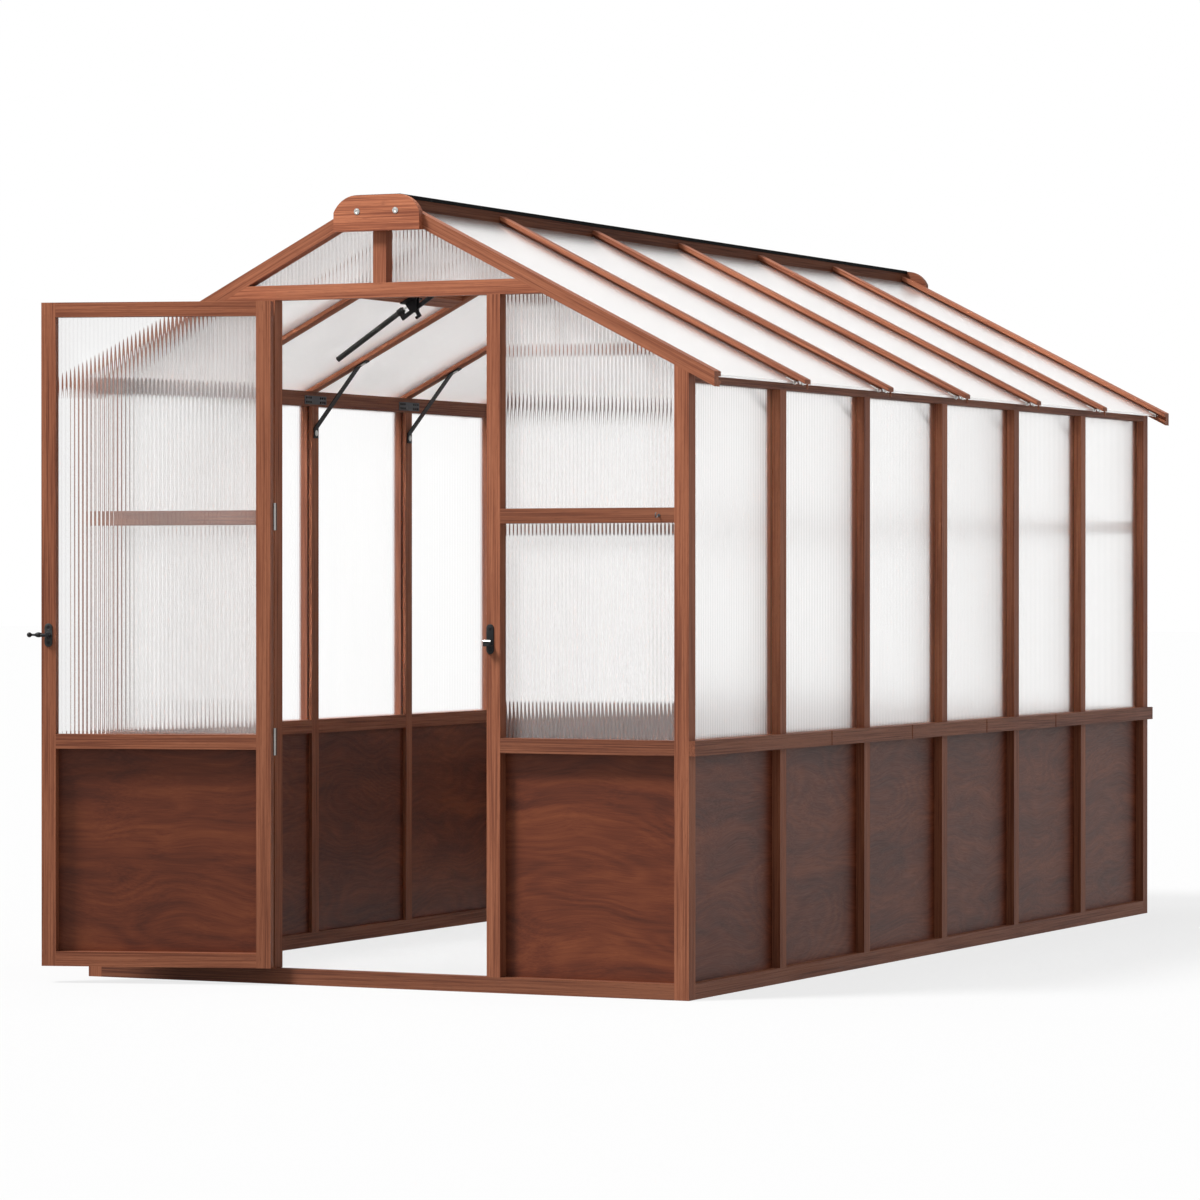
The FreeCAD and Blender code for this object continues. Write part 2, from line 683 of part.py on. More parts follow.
def make_ridge():
    beam_outline = rectangle(-ridge_half, ridge_base, ridge_half, ridge_top)
    node(prism("RidgeBeam", "Y", beam_outline, front, rear), "ridge_beam")

    boards = new_body("RightRidgeBoard")
    over_rafters = [on_slope(d.board_inner, 0), on_slope(d.board_outer, 0),
                    (d.board_outer, ridge_top), (d.board_inner, ridge_top)]
    pad(boards, "Y", over_rafters, front, rear)
    infill = pad(boards, "Y", strip(d.board_inner, d.board_outer, 0, sheet_drop),
                 back, pitch - half_post)
    repeat_along_y(boards, [infill], d.bays, pitch)
    node(both_sides("RidgeBoards", boards), "ridge_boards")

    side = d.board_outer + d.cap_sheet
    top, lip = ridge_top, ridge_top - d.cap_lip
    cap_outline = [(-side, lip), (-d.board_outer, lip), (-d.board_outer, top),
                   (d.board_outer, top), (d.board_outer, lip), (side, lip),
                   (side, top + d.cap_sheet), (-side, top + d.cap_sheet)]
    node(prism("RidgeCap", "Y", cap_outline, front, rear), "ridge_cap")


def make_crown_plates():
    """Plates over the gable peaks, with round shoulders and two dome-headed bolts each."""
    crown_base = ridge_top - d.crown_tall
    shoulder = ridge_top - d.shoulder_tall
    outline = [(d.crown_half, crown_base), (d.crown_half, shoulder),
               (d.crown_flat, ridge_top), (-d.crown_flat, ridge_top),
               (-d.crown_half, shoulder), (-d.crown_half, crown_base)]
    crown = new_body("FrontCrown")
    pad(crown, "Y", outline, front - d.crown_thick, front, arcs={1: 2, 3: 2})
    node(crown, "crown_plate_front")
    node(mirrored(crown, "RearCrown", "Y"), "crown_plate_rear")

    face = front - d.crown_thick
    top = face - d.bolt_rise
    bolt = new_body("CrownBolt")
    profile = [(face, 0), (face, d.bolt_rim), (top, d.bolt_flat), (top, 0)]
    turn(bolt, "X", profile, d.bolt_side, ridge_top - d.bolt_drop)
    bolts = both_sides("FrontBolts", bolt)
    node(group("CrownBolts", [bolts, mirrored(bolts, "RearBolts", "Y")]), "crown_bolts")


def make_vent_trimmers():
    """Head and sill rails of the vent, between the first two inner rafters of the left slope."""
    start, end = pitch + half_rafter, pitch * 2 - half_rafter
    rib_drop = sheet_drop + d.slack / 4
    trimmers = new_body("VentTrimmers")
    pad(trimmers, "Y", strip(ridge_half, d.trim_head, rib_drop, rafter_plumb), start, end)
    sill = [on_slope(d.sill_start, rafter_plumb), on_slope(d.sill_end, rafter_plumb),
            on_slope(d.sill_end, groove_drop), on_slope(d.sill_ledge, groove_drop),
            on_slope(d.sill_ledge, rib_drop), on_slope(d.sill_start, rib_drop)]
    pad(trimmers, "Y", sill, start, end)
    node(mirrored(trimmers, "VentTrimmersLeft", "X"), "vent_trimmers")


# Boards and sheets

def make_side_infill():
    low_x, high_x = groove_low + d.slack / 2, groove_high - d.slack / 2
    start, end = back - bite, pitch - half_post + bite
    spans = (("boards", d.post - bite, d.dado_base + bite, "side_panels"),
             ("sheets", dado_top - bite, plate_base + bite, "side_glazing"))
    for kind, low, high, label in spans:
        body = new_body(f"Right_{kind}")
        first = pad(body, "Y", rectangle(low_x, low, high_x, high), start, end)
        repeat_along_y(body, [first], d.bays, pitch)
        node(body, f"{label}_right")
        node(mirrored(body, f"Left_{kind}", "X"), f"{label}_left")


def make_end_infill():
    """Boards and sheets of the end walls, in the rebates behind the frame."""
    left, right = jamb_out - bite, inner + bite
    far = end_plane + d.sheet
    tuck = rafter_plumb - bite
    centre_left, centre_right = -half_opening - bite, half_opening + bite

    boards = prism("EndBoard", "Y", rectangle(left, d.post - bite, right, d.dado_base + bite),
                   end_plane, far)
    centre_board = prism("CentreBoard", "Y", rectangle(
        centre_left, d.post - bite, centre_right, d.dado_base + bite), end_plane, far)
    front_boards = both_sides("FrontBoards", boards)
    node(group("EndPanels", [front_boards, mirrored(front_boards, "RearBoards", "Y"),
                             mirrored(centre_board, "RearCentreBoard", "Y")]), "end_panels")

    top = tie_base + bite
    sheets = new_body("EndSheets")
    pad(sheets, "Y", rectangle(left, dado_top - bite, right, d.mid_base + bite), end_plane, far)
    upper = [(left, mid_top - bite), (right, mid_top - bite), on_slope(right, tuck),
             (under_roof(top, tuck), top), (left, top)]
    pad(sheets, "Y", upper, end_plane, far)
    king = d.rail / 2 - bite
    gable_low, gable_high = tie_top - bite, ridge_base - d.slack
    gable = [(king, gable_low), (under_roof(gable_low, tuck), gable_low),
             (under_roof(gable_high, tuck), gable_high), (king, gable_high)]
    pad(sheets, "Y", gable, end_plane, far)
    front_sheets = node(both_sides("FrontSheets", sheets), "front_glazing")

    centre = new_body("CentreSheets")
    for low, high in ((dado_top, d.mid_base), (mid_top, tie_base)):
        pad(centre, "Y", rectangle(centre_left, low - bite, centre_right, high + bite),
            end_plane, far)
    node(group("RearSheets", [mirrored(front_sheets, "RearSideSheets", "Y"),
                              mirrored(centre, "RearCentreSheets", "Y")]), "rear_glazing")


def make_roof_sheets():
    """Roof sheets that slide down the rafter grooves; one is short, below the vent."""
    start, end = half_web + d.slack, pitch - half_web - d.slack
    full = strip(ridge_half + d.slack, sheet_end, sheet_drop, groove_drop)
    short = strip(d.sill_ledge + d.slack, sheet_end, sheet_drop, groove_drop)
    right = new_body("RightRoofSheets")
    first = pad(right, "Y", full, start, end)
    repeat_along_y(right, [first], d.bays, pitch)
    node(right, "roof_glazing_right")

    left = new_body("VentSlopeSheets")
    pad(left, "Y", full, start, end)
    pad(left, "Y", short, pitch + start, pitch + end)
    rest = pad(left, "Y", full, pitch * 2 + start, pitch * 2 + end)
    repeat_along_y(left, [rest], d.bays - 2, pitch)
    node(mirrored(left, "LeftRoofSheets", "X"), "roof_glazing_left")


# Metal fittings on the frame

def make_knee_braces():
    """Bent strips from the studs to the undersides of the rafters."""
    thick = d.brace_thick
    foot = plate_base - d.brace_fall
    out = inner - d.brace_run
    tip = out - d.brace_tab
    drop = rafter_plumb
    outline = [(inner - thick, foot - d.brace_tab), (inner, foot - d.brace_tab), (inner, foot),
               on_slope(out, drop), on_slope(tip, drop), on_slope(tip, drop + thick),
               on_slope(out, drop + thick), (inner - thick, foot)]
    braces = new_body("RightBraces")
    brace = pad(braces, "Y", outline, pitch - d.brace_wide / 2, pitch + d.brace_wide / 2)
    repeat_along_y(braces, [brace], d.bays - 1, pitch)
    node(both_sides("KneeBraces", braces), "knee_braces")


def make_splice_plates():
    plates = new_body("RightSplices")
    low = plate_base + d.splice_rise
    outline = rectangle(inner - d.splice_thick, low, inner, low + d.splice_tall)
    plate = pad(plates, "Y", outline, pitch - d.splice_long / 2, pitch + d.splice_long / 2)
    repeat_along_y(plates, [plate], d.bays - 1, pitch)
    node(both_sides("SplicePlates", plates), "splice_plates")


def make_glazing_clips():
    """J-shaped clips on the sheets' lower ends, beside the rafters."""
    over, under = sheet_end - d.clip_over, sheet_end - d.clip_under
    lip = sheet_end + d.clip_thick
    top_drop, low_drop = sheet_drop - d.clip_thick, groove_drop + d.clip_thick
    outline = [on_slope(over, sheet_drop), on_slope(sheet_end, sheet_drop),
               on_slope(sheet_end, groove_drop), on_slope(under, groove_drop),
               on_slope(under, low_drop), on_slope(lip, low_drop), on_slope(lip, top_drop),
               on_slope(over, top_drop)]
    clips = new_body("RightClips")
    beside = half_post + d.slack
    near = pad(clips, "Y", outline, beside, beside + d.clip_wide)
    far = pad(clips, "Y", outline, pitch - beside - d.clip_wide, pitch - beside)
    repeat_along_y(clips, [near, far], d.bays, pitch)
    node(both_sides("GlazingClips", clips), "glazing_clips")


def make_screw_hook():
    """Small screw hook on the middle rail beside the door; its ring is open on top."""
    level = d.mid_base + d.rail / 2
    shank_end = front - d.hook_shank
    shank = rod("HookShank", d.hook_wire, shank_end, front, "Y", (d.hook_place, level))
    centre = (shank_end - d.hook_ring, level)
    hook_side = d.hook_place - d.hook_wire
    hook_far = d.hook_place + d.hook_wire
    outer = rod("HookOuter", d.hook_ring + d.hook_wire, hook_side, hook_far, "X", centre)
    bind(outer, "Angle", d.hook_turn)
    hole = rod("HookHole", d.hook_ring - d.hook_wire, hook_side, hook_far, "X", centre)
    ring = subtract("HookRing", outer, hole)
    node(fuse("ScrewHook", [shank, ring]), "screw_hook")


def make_keeper():
    """Keeper on the right jamb: a plate with a trough that the latch arm drops into."""
    level = d.latch_level
    plate = front - d.keeper_thick
    tip = front - d.keeper_proud
    floor = level - d.floor_drop
    outline = [(front, level - d.keeper_low), (front, level + d.keeper_high),
               (plate, level + d.keeper_high), (plate, floor), (tip + d.lip_thick, floor),
               (tip + d.lip_thick, level - d.lip_drop), (tip, level - d.lip_drop),
               (tip, floor - d.keeper_thick), (plate, floor - d.keeper_thick),
               (plate, level - d.keeper_low)]
    node(prism("Keeper", "X", outline, half_opening, half_opening + d.keeper_wide), "latch_keeper")


# Hinges

def leaf(name, radius, reach, tall, near, side, spans, holds_pin):
    """Hinge leaf with its pin on the local Z axis and its plate along local X.

    The plate starts beyond the other leaf's knuckles, and short necks join it to its own.
    """
    low, high = (near, near + d.leaf_thick) if side > 0 else (-near - d.leaf_thick, -near)
    pieces = [box(f"{name}_plate", (d.leaf_start, low, 0), (reach, high, tall))]
    for index, (start, end) in enumerate(spans):
        pieces.append(box(f"{name}_neck{index}", (0, low, start), (d.leaf_start, high, end)))
        pieces.append(rod(f"{name}_knuckle{index}", radius, start, end, "Z", (0, 0)))
    if holds_pin:
        pieces.append(rod(f"{name}_pin", d.pin_radius, 0, tall, "Z", (0, 0)))
        return fuse(name, pieces)
    hole = rod(f"{name}_bore", d.pin_radius + d.pin_fit, -d.slack, tall + d.slack, "Z", (0, 0))
    return subtract(name, fuse(f"{name}_solid", pieces), hole)


def knuckle_spans(tall):
    """Spans of the fixed leaf's two outer knuckles and of the moving leaf's middle one."""
    third = tall / 3
    gap = d.knuckle_gap / 2
    return ((0, third - gap), (third * 2 + gap, tall)), ((third + gap, third * 2 - gap),)


hinge_x = -half_opening + d.door_gap / 2
hinge_y = front - d.pin_front


def make_door_hinges():
    fixed_spans, moving_spans = knuckle_spans(d.hinge_tall)
    near = d.door_gap / 2 - d.leaf_thick
    fixed, moving = [], []
    for name, level in (("LowHinge", d.hinge_low), ("HighHinge", d.hinge_high)):
        jamb_leaf = leaf(f"{name}Jamb", d.knuckle, d.leaf_wide, d.hinge_tall, near, 1,
                         fixed_spans, True)
        jamb_leaf.Placement.Rotation = FreeCAD.Rotation(Z_DIRECTION, 90)
        place(jamb_leaf, (hinge_x, hinge_y, level))
        fixed.append(jamb_leaf)
        door_leaf = leaf(f"{name}Door", d.knuckle, d.leaf_wide, d.hinge_tall, near, -1,
                         moving_spans, False)
        hang(door_leaf, level, 90)
        moving.append(door_leaf)
    node(group("JambLeaves", fixed), "door_hinge_jamb_leaves")
    node(group("DoorLeaves", moving), "door_hinge_door_leaves")


# Door, built shut with the hinge pin on its Z axis and then swung open

door_left = d.door_gap / 2
door_right = d.opening - d.door_gap * 1.5
door_low = d.post + d.door_gap
door_high = tie_base - d.door_gap
door_face = d.pin_front
door_back = d.pin_front + d.door_thick
door_shoulder = door_face + d.sheet + d.slack
spindle_x = door_right - d.rail / 2


def hang(piece, level=0, shut_turn=0):
    """Put a piece of the door on the hinge pin and swing it to the angle it stands open at."""
    piece.Placement.Rotation = FreeCAD.Rotation(FreeCAD.Vector(0, 0, -1), 90)
    bind(piece, ".Placement.Rotation.Angle", d.door_angle - shut_turn)
    place(piece, (hinge_x, hinge_y, level))


def make_door_frame():
    stiles = new_body("DoorStiles")
    left_step, right_step = door_left + d.rail, door_right - d.rail
    shoulder = door_shoulder
    hinge_stile = [(door_left, door_face), (left_step - d.seat, door_face),
                   (left_step - d.seat, shoulder), (left_step, shoulder),
                   (left_step, door_back), (door_left, door_back)]
    latch_stile = [(right_step, shoulder), (right_step + d.seat, shoulder),
                   (right_step + d.seat, door_face), (door_right, door_face),
                   (door_right, door_back), (right_step, door_back)]
    pad(stiles, "Z", hinge_stile, door_low, door_high)
    pad(stiles, "Z", latch_stile, door_low, door_high)
    bore(stiles, "Y", (spindle_x, d.latch_level), d.spindle + d.pin_fit,
         door_face - d.slack, door_back + d.slack)
    hang(stiles)
    node(stiles, "door_stiles")

    rails = new_body("DoorRails")
    low_top, high_low = door_low + d.rail, door_high - d.rail
    bottom = [(door_face, door_low), (door_back, door_low), (door_back, low_top),
              (shoulder, low_top), (shoulder, low_top - d.seat), (door_face, low_top - d.seat)]
    dado = [(shoulder, d.dado_base), (door_back, d.dado_base), (door_back, dado_top),
            (shoulder, dado_top), (shoulder, dado_top - d.seat), (door_face, dado_top - d.seat),
            (door_face, d.dado_base + d.seat), (shoulder, d.dado_base + d.seat)]
    top = [(shoulder, high_low), (door_back, high_low), (door_back, door_high),
           (door_face, door_high), (door_face, high_low + d.seat), (shoulder, high_low + d.seat)]
    for outline in (bottom, dado, top):
        pad(rails, "X", outline, left_step, right_step)
    hang(rails)
    node(rails, "door_rails")

    spans = (("DoorSheet", dado_top - bite, high_low + bite, "door_glazing"),
             ("DoorBoard", low_top - bite, d.dado_base + bite, "door_panel"))
    for name, low, high, label in spans:
        outline = rectangle(left_step - bite, low, right_step + bite, high)
        infill = prism(name, "Y", outline, shoulder - d.sheet, shoulder)
        hang(infill)
        node(infill, label)


def make_latch():
    """Turning latch: a ball-ended arm outside, a thumb piece inside, a spindle between them."""
    level = d.latch_level
    half_wide, half_tall = d.latch_plate_wide / 2, d.latch_plate_tall / 2
    outline = rectangle(spindle_x - half_wide, level - half_tall,
                        spindle_x + half_wide, level + half_tall)
    plates = new_body("LatchPlates")
    pad(plates, "Y", outline, door_face - d.latch_plate_thick, door_face)
    pad(plates, "Y", outline, door_back, door_back + d.latch_plate_thick)
    bore(plates, "Y", (spindle_x, level), d.spindle + d.pin_fit,
         door_face - d.latch_plate_thick - d.slack, door_back + d.latch_plate_thick + d.slack)
    hang(plates)
    node(plates, "latch_plates")

    arm_y = door_face - d.arm_front
    inside = door_back + d.latch_plate_thick
    boss_end = door_face - d.latch_plate_thick - d.slack
    tip = spindle_x + d.arm_reach
    turned_arm = new_body("TurnedArm")
    profile = [(spindle_x, 0), (spindle_x, d.arm_neck)]
    profile += swelling(spindle_x + d.arm_swell, d.swell_half, d.arm_ball, SWELL_ANGLES)
    profile += swelling(tip, d.arm_ball, d.arm_ball, SWELL_ANGLES)
    profile += [(profile[-1][0], 0)]
    turn(turned_arm, "Y", profile, arm_y, level)
    arm = fuse("LatchArm", [
        rod("ArmSpindle", d.spindle, boss_end, inside + d.slack, "Y", (spindle_x, level)),
        rod("ArmBoss", d.boss_radius, boss_end - d.boss_long, boss_end, "Y", (spindle_x, level)),
        turned_arm,
    ])
    hang(arm)
    node(arm, "latch_arm")

    knob_face, knob_end = inside + d.slack, inside + d.knob_long
    thumb_end = spindle_x + d.thumb_reach
    round_tip = thumb_end - d.thumb_tip / 2
    outline = [(spindle_x, level - d.thumb_root), (round_tip, level - d.thumb_tip),
               (thumb_end, level - d.thumb_tip / 2), (thumb_end, level + d.thumb_tip / 2),
               (round_tip, level + d.thumb_tip), (spindle_x, level + d.thumb_root)]
    thumb = prism("ThumbPiece", "Y", outline, knob_end - d.slack - d.thumb_thick,
                  knob_end - d.slack)
    boss = rod("KnobBoss", d.knob_boss, knob_face, knob_end, "Y", (spindle_x, level))
    knob = fuse("LatchKnob", [boss, thumb])
    hang(knob)
    node(knob, "latch_knob")


# Roof vent, built on the right slope and mirrored to the left one

sash_top = -d.sash_proud
sash_low = sash_top + d.sash_plumb
sash_front = pitch + half_rafter + d.sash_gap
sash_back = pitch * 2 - half_rafter - d.sash_gap
vent_middle = pitch * 1.5
vent_pin_x = d.board_outer + d.vent_pin_side
vent_pin_z = roof(vent_pin_x, sash_top - d.vent_pin_rise * slope_stretch)


def make_vent_sash():
    groove_top = sash_top + d.seat
    groove_base = groove_top + sheet_plumb + d.slack
    start, end = d.sash_start, d.sash_end
    step = sash_front + d.sash_stile - d.seat
    stile_in = sash_front + d.sash_stile
    stile = new_body("VentStile")
    pad(stile, "Y", strip(start, end, sash_top, sash_low), sash_front, step)
    pad(stile, "Y", strip(start, end, sash_top, groove_top), step, stile_in)
    pad(stile, "Y", strip(start, end, groove_base, sash_low), step, stile_in)
    far_stile = doc.addObject("Part::Mirroring", "VentFarStile")
    far_stile.Source = stile
    far_stile.Normal = Y_DIRECTION
    bind(far_stile, "Base.y", vent_middle)

    def rail(outer, inner_edge, groove_end):
        return [on_slope(outer, sash_top), on_slope(outer, sash_low),
                on_slope(inner_edge, sash_low), on_slope(inner_edge, groove_base),
                on_slope(groove_end, groove_base), on_slope(groove_end, groove_top),
                on_slope(inner_edge, groove_top), on_slope(inner_edge, sash_top)]

    top_in, low_in = start + d.sash_rail, end - d.sash_rail
    rails = new_body("VentRails")
    for outline in (rail(start, top_in, top_in - d.seat), rail(end, low_in, low_in + d.seat)):
        pad(rails, "Y", outline, stile_in, sash_back - d.sash_stile)
    frame = group("VentSash", [stile, far_stile, rails])
    node(mirrored(frame, "VentSashLeft", "X"), "vent_sash")

    glass_top = groove_top + d.slack / 2
    glass = prism("VentSheet", "Y", strip(top_in - bite, low_in + bite, glass_top,
                                          glass_top + sheet_plumb),
                  stile_in - bite, sash_back - d.sash_stile + bite)
    node(mirrored(glass, "VentGlazing", "X"), "vent_glazing")


def make_vent_hinges():
    fixed_spans, moving_spans = knuckle_spans(d.vent_hinge_long)
    roof_angle = math.degrees(math.atan(d.slope.value))
    upright = FreeCAD.Rotation(FreeCAD.Vector(0, 0, -1), FreeCAD.Vector(-1, 0, 0),
                               Y_DIRECTION, "ZXY")
    along_slope = FreeCAD.Rotation(Y_DIRECTION, roof_angle).multiply(
        FreeCAD.Rotation(X_DIRECTION, -90))
    fixed, moving = [], []
    places = (sash_front + d.vent_hinge_inset,
              sash_back - d.vent_hinge_inset - d.vent_hinge_long)
    for index, start in enumerate(places):
        head_leaf = leaf(f"VentHead{index}", d.vent_knuckle, d.vent_leaf, d.vent_hinge_long,
                         d.vent_pin_side - d.leaf_thick, 1, fixed_spans, True)
        head_leaf.Placement.Rotation = upright
        sash_leaf = leaf(f"VentLeaf{index}", d.vent_knuckle, d.vent_leaf, d.vent_hinge_long,
                         d.vent_pin_rise - d.leaf_thick, 1, moving_spans, False)
        sash_leaf.Placement.Rotation = along_slope
        for piece in (head_leaf, sash_leaf):
            place(piece, (vent_pin_x, start, vent_pin_z))
        fixed.append(head_leaf)
        moving.append(sash_leaf)
    node(mirrored(group("VentHeadLeaves", fixed), "VentHeadLeavesLeft", "X"),
         "vent_hinge_ridge_leaves")
    node(mirrored(group("VentSashLeaves", moving), "VentSashLeavesLeft", "X"),
         "vent_hinge_sash_leaves")


# Automatic opener below the vent's sill rail, built on the right slope and mirrored

pivot_x = d.opener_out
pivot_z = roof(d.opener_out, rafter_plumb + d.opener_drop)
tilt_cos = cosine(d.opener_tilt)
tilt_sin = sine(d.opener_tilt)


def tilted(along, up):
    """House coordinates of a point given along the closed opener and square to it."""
    return (pivot_x + tilt_cos * along + tilt_sin * up, pivot_z - tilt_sin * along + tilt_cos * up)


def tilt(piece):
    """Put a piece made around the opener's pivot on the bracket, at the closed angle."""
    piece.Placement.Rotation = FreeCAD.Rotation(Y_DIRECTION, 45)
    bind(piece, ".Placement.Rotation.Angle", d.opener_tilt)
    place(piece, (pivot_x, vent_middle, pivot_z))


def make_opener_bracket():
    """Foot plate under the sill rail, two ears, and the pivot pin and cross pin between them."""
    far = d.ear_inner + d.ear_thick
    drop = rafter_plumb
    top_in, top_out = d.sill_start + d.slack, d.sill_end - d.slack
    outline = [on_slope(top_in, drop), (pivot_x - d.ear_foot, pivot_z - d.ear_foot),
               (pivot_x + d.ear_foot, pivot_z - d.ear_foot), on_slope(top_out, drop)]
    ears = new_body("OpenerEars")
    pad(ears, "Y", outline, vent_middle - far, vent_middle - d.ear_inner)
    pad(ears, "Y", outline, vent_middle + d.ear_inner, vent_middle + far)
    foot = prism("OpenerFoot", "Y", strip(top_in + d.foot_back, top_out, drop, drop + d.foot_plumb),
                 vent_middle - d.foot_long / 2, vent_middle + d.foot_long / 2)
    pins = [rod("OpenerPin", d.opener_pin, vent_middle - far, vent_middle + far, "Y",
                (pivot_x, pivot_z)),
            rod("OpenerAnvil", d.anvil_radius, vent_middle - far, vent_middle + far, "Y",
                tilted(-d.anvil_back, d.tube_rise))]
    node(mirrored(fuse("OpenerBracket", [ears, foot] + pins), "OpenerBracketLeft", "X"),
         "opener_bracket")


def make_opener():
    lever = new_body("OpenerLever")
    side = [(-d.lever_reach, -d.lever_tip), (0, -d.lever_root), (d.clamp_end, -d.lever_root),
            (d.clamp_end, d.lever_root), (0, d.lever_root), (-d.lever_reach, d.lever_tip)]
    pad(lever, "Y", side, -d.lever_half, d.lever_half)
    jaw_top = d.jaw_thick - d.jaw_drop
    jaw = [(-d.jaw_back, 0), (-d.jaw_back, -d.jaw_drop), (d.jaw_foot, -d.jaw_drop),
           (d.jaw_foot, jaw_top), (d.jaw_front, jaw_top), (d.jaw_front, 0)]
    pad(lever, "Y", jaw, -d.lever_half, d.lever_half)
    clamp = rectangle(d.clamp_start, d.lever_root - d.slack, d.clamp_end,
                      d.tube_rise + d.clamp_half)
    pad(lever, "Y", clamp, -d.clamp_half, d.clamp_half)
    bore(lever, "X", (0, d.tube_rise), d.tube_radius, d.clamp_start - d.slack,
         d.clamp_end + d.slack)
    bore(lever, "Y", (0, 0), d.opener_pin + d.pin_fit, -d.lever_half - d.slack,
         d.lever_half + d.slack)
    tilt(lever)
    node(mirrored(lever, "OpenerLeverLeft", "X"), "opener_lever")

    tube_end = d.tube_start + d.tube_long
    across = (0, d.tube_rise)
    tube = subtract(
        "OpenerTube", rod("TubeBar", d.tube_radius, d.tube_start, tube_end, "X", across),
        rod("TubeBore", d.piston + d.pin_fit, d.tube_start - d.slack, d.bore_end, "X", across))
    tilt(tube)
    node(mirrored(tube, "OpenerTubeLeft", "X"), "opener_tube")

    piston_start = d.anvil_radius - d.anvil_back + d.piston_gap
    profile = [(piston_start, 0), (piston_start, d.piston),
               (d.piston_end, d.piston), (d.piston_end, 0)]
    piston = new_body("OpenerPiston")
    turn(piston, "Y", profile, 0, d.tube_rise)
    tilt(piston)
    node(mirrored(piston, "OpenerPistonLeft", "X"), "opener_piston_rod")


for make in (make_sills, make_corner_posts, make_jambs_and_rear_posts, make_side_studs,
             make_wall_plates, make_side_transoms, make_cap_rails, make_end_rails,
             make_tie_beams, make_king_posts, make_end_rafters, make_rafters, make_ridge,
             make_crown_plates, make_vent_trimmers, make_side_infill, make_end_infill,
             make_roof_sheets, make_knee_braces, make_splice_plates, make_glazing_clips,
             make_screw_hook, make_keeper, make_door_hinges, make_door_frame, make_latch,
             make_vent_sash, make_vent_hinges, make_opener_bracket, make_opener):
    make()
doc.recompute()

for thing in doc.Objects:
    if "Invalid" in thing.State or "Error" in thing.State:
        raise RuntimeError(f"{thing.Label} failed to build: {thing.State}")
for piece in nodes:
    if piece.Shape.isNull() or not piece.Shape.isValid() or not piece.Shape.Solids:
        raise RuntimeError(f"{piece.Label} has no valid solid")

os.makedirs("parts", exist_ok=True)
for piece in nodes:
    piece.Shape.exportStep(f"parts/{piece.Label}.step")

print(f"{len(nodes)} sub-parts written")
print("door hinge", hinge_x.value, hinge_y.value)
print("latch spindle, door shut", hinge_x.value + spindle_x.value, d.latch_level.value)
print("vent hinge", -vent_pin_x.value, vent_pin_z.value)
print("opener pivot", -pivot_x.value, vent_middle.value, pivot_z.value)
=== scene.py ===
import math

import bmesh
import bpy
from mathutils import Matrix, Vector


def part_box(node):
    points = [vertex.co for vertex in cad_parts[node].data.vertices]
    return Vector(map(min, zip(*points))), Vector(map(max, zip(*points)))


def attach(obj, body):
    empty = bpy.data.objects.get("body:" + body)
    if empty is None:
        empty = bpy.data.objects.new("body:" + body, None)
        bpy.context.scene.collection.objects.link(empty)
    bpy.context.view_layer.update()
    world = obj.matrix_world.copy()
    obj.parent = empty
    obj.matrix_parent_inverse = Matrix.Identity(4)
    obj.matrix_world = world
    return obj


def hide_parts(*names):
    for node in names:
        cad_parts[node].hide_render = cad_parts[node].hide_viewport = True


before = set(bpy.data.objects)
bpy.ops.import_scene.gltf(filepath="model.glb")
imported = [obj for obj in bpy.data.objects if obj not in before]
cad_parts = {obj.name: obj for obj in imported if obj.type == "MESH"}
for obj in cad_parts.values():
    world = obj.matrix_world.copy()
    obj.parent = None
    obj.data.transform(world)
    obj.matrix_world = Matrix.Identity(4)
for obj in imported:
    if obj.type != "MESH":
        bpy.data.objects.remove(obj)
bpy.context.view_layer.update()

bl_info = {
    "name": "Wooden greenhouse",
    "version": (1, 0, 0),
    "blender": (4, 5, 0),
    "location": "3D View > Sidebar > Greenhouse",
    "description": "Stains the timber, glazes the walls and fits the metalwork of a greenhouse",
    "category": "Object",
}

# Timber, sorted by the way its grain runs.
UPRIGHT = ("corner_posts", "door_jamb_right", "door_jamb_left", "rear_posts", "side_studs_right",
           "side_studs_left", "king_posts", "door_stiles")
CROSSWAYS = ("front_sill", "rear_sill", "front_rails", "rear_rails")
GABLE = ("tie_beam_front", "tie_beam_rear")
LENGTHWAYS = ("side_sills", "side_transoms", "ridge_beam", "vent_trimmers")
PLATES = ("wall_plate_right", "wall_plate_left")
CAPS = ("cap_rail_right", "cap_rail_left")
SLOPING = ("end_rafters", "rafters_right", "rafters_left")
BLACK = ("knee_braces", "opener_bracket", "opener_lever")
HINGES = ("door_hinge_door_leaves", "door_hinge_jamb_leaves")
BRIGHT = ("vent_hinge_ridge_leaves", "vent_hinge_sash_leaves", "glazing_clips",
          "opener_piston_rod")

QUARTER = math.radians(90)
# The door stands open by this angle, on a pin at this place.
DOOR_ANGLE = math.radians(162.5)
DOOR_PIN = Vector((-0.321, -0.026, 0.0))
BAY = 0.603
BAY_LINES = [BAY * bay for bay in range(1, 6)]
VENT_MIDDLE = 1.5 * BAY
ROOF_SLOPE = 0.51
ROOF_ANGLE = math.atan(ROOF_SLOPE)
# Heights at which the roof's top line and the gable sheets' upper edges meet in the middle.
APEX = 2.150
SHEET_APEX = APEX - 0.033
RIDGE_HALF = 0.012 / ROOF_SLOPE
EAVE_REACH = 0.9879
# Strips of an inner rafter: start and end from the ridge line, plumb drops of top and underside
# below the roof's line, and half the width.
RAFTER_FLANGE = (RIDGE_HALF, EAVE_REACH, 0.0, 0.013, 0.020)
RAFTER_WEB = (RIDGE_HALF, 0.958, 0.0125, 0.0265, 0.006)
RAFTER_FOOT = (RIDGE_HALF, 0.9145, 0.026, 0.040, 0.020)
TAIL_DROPS = (0.0125, 0.027)

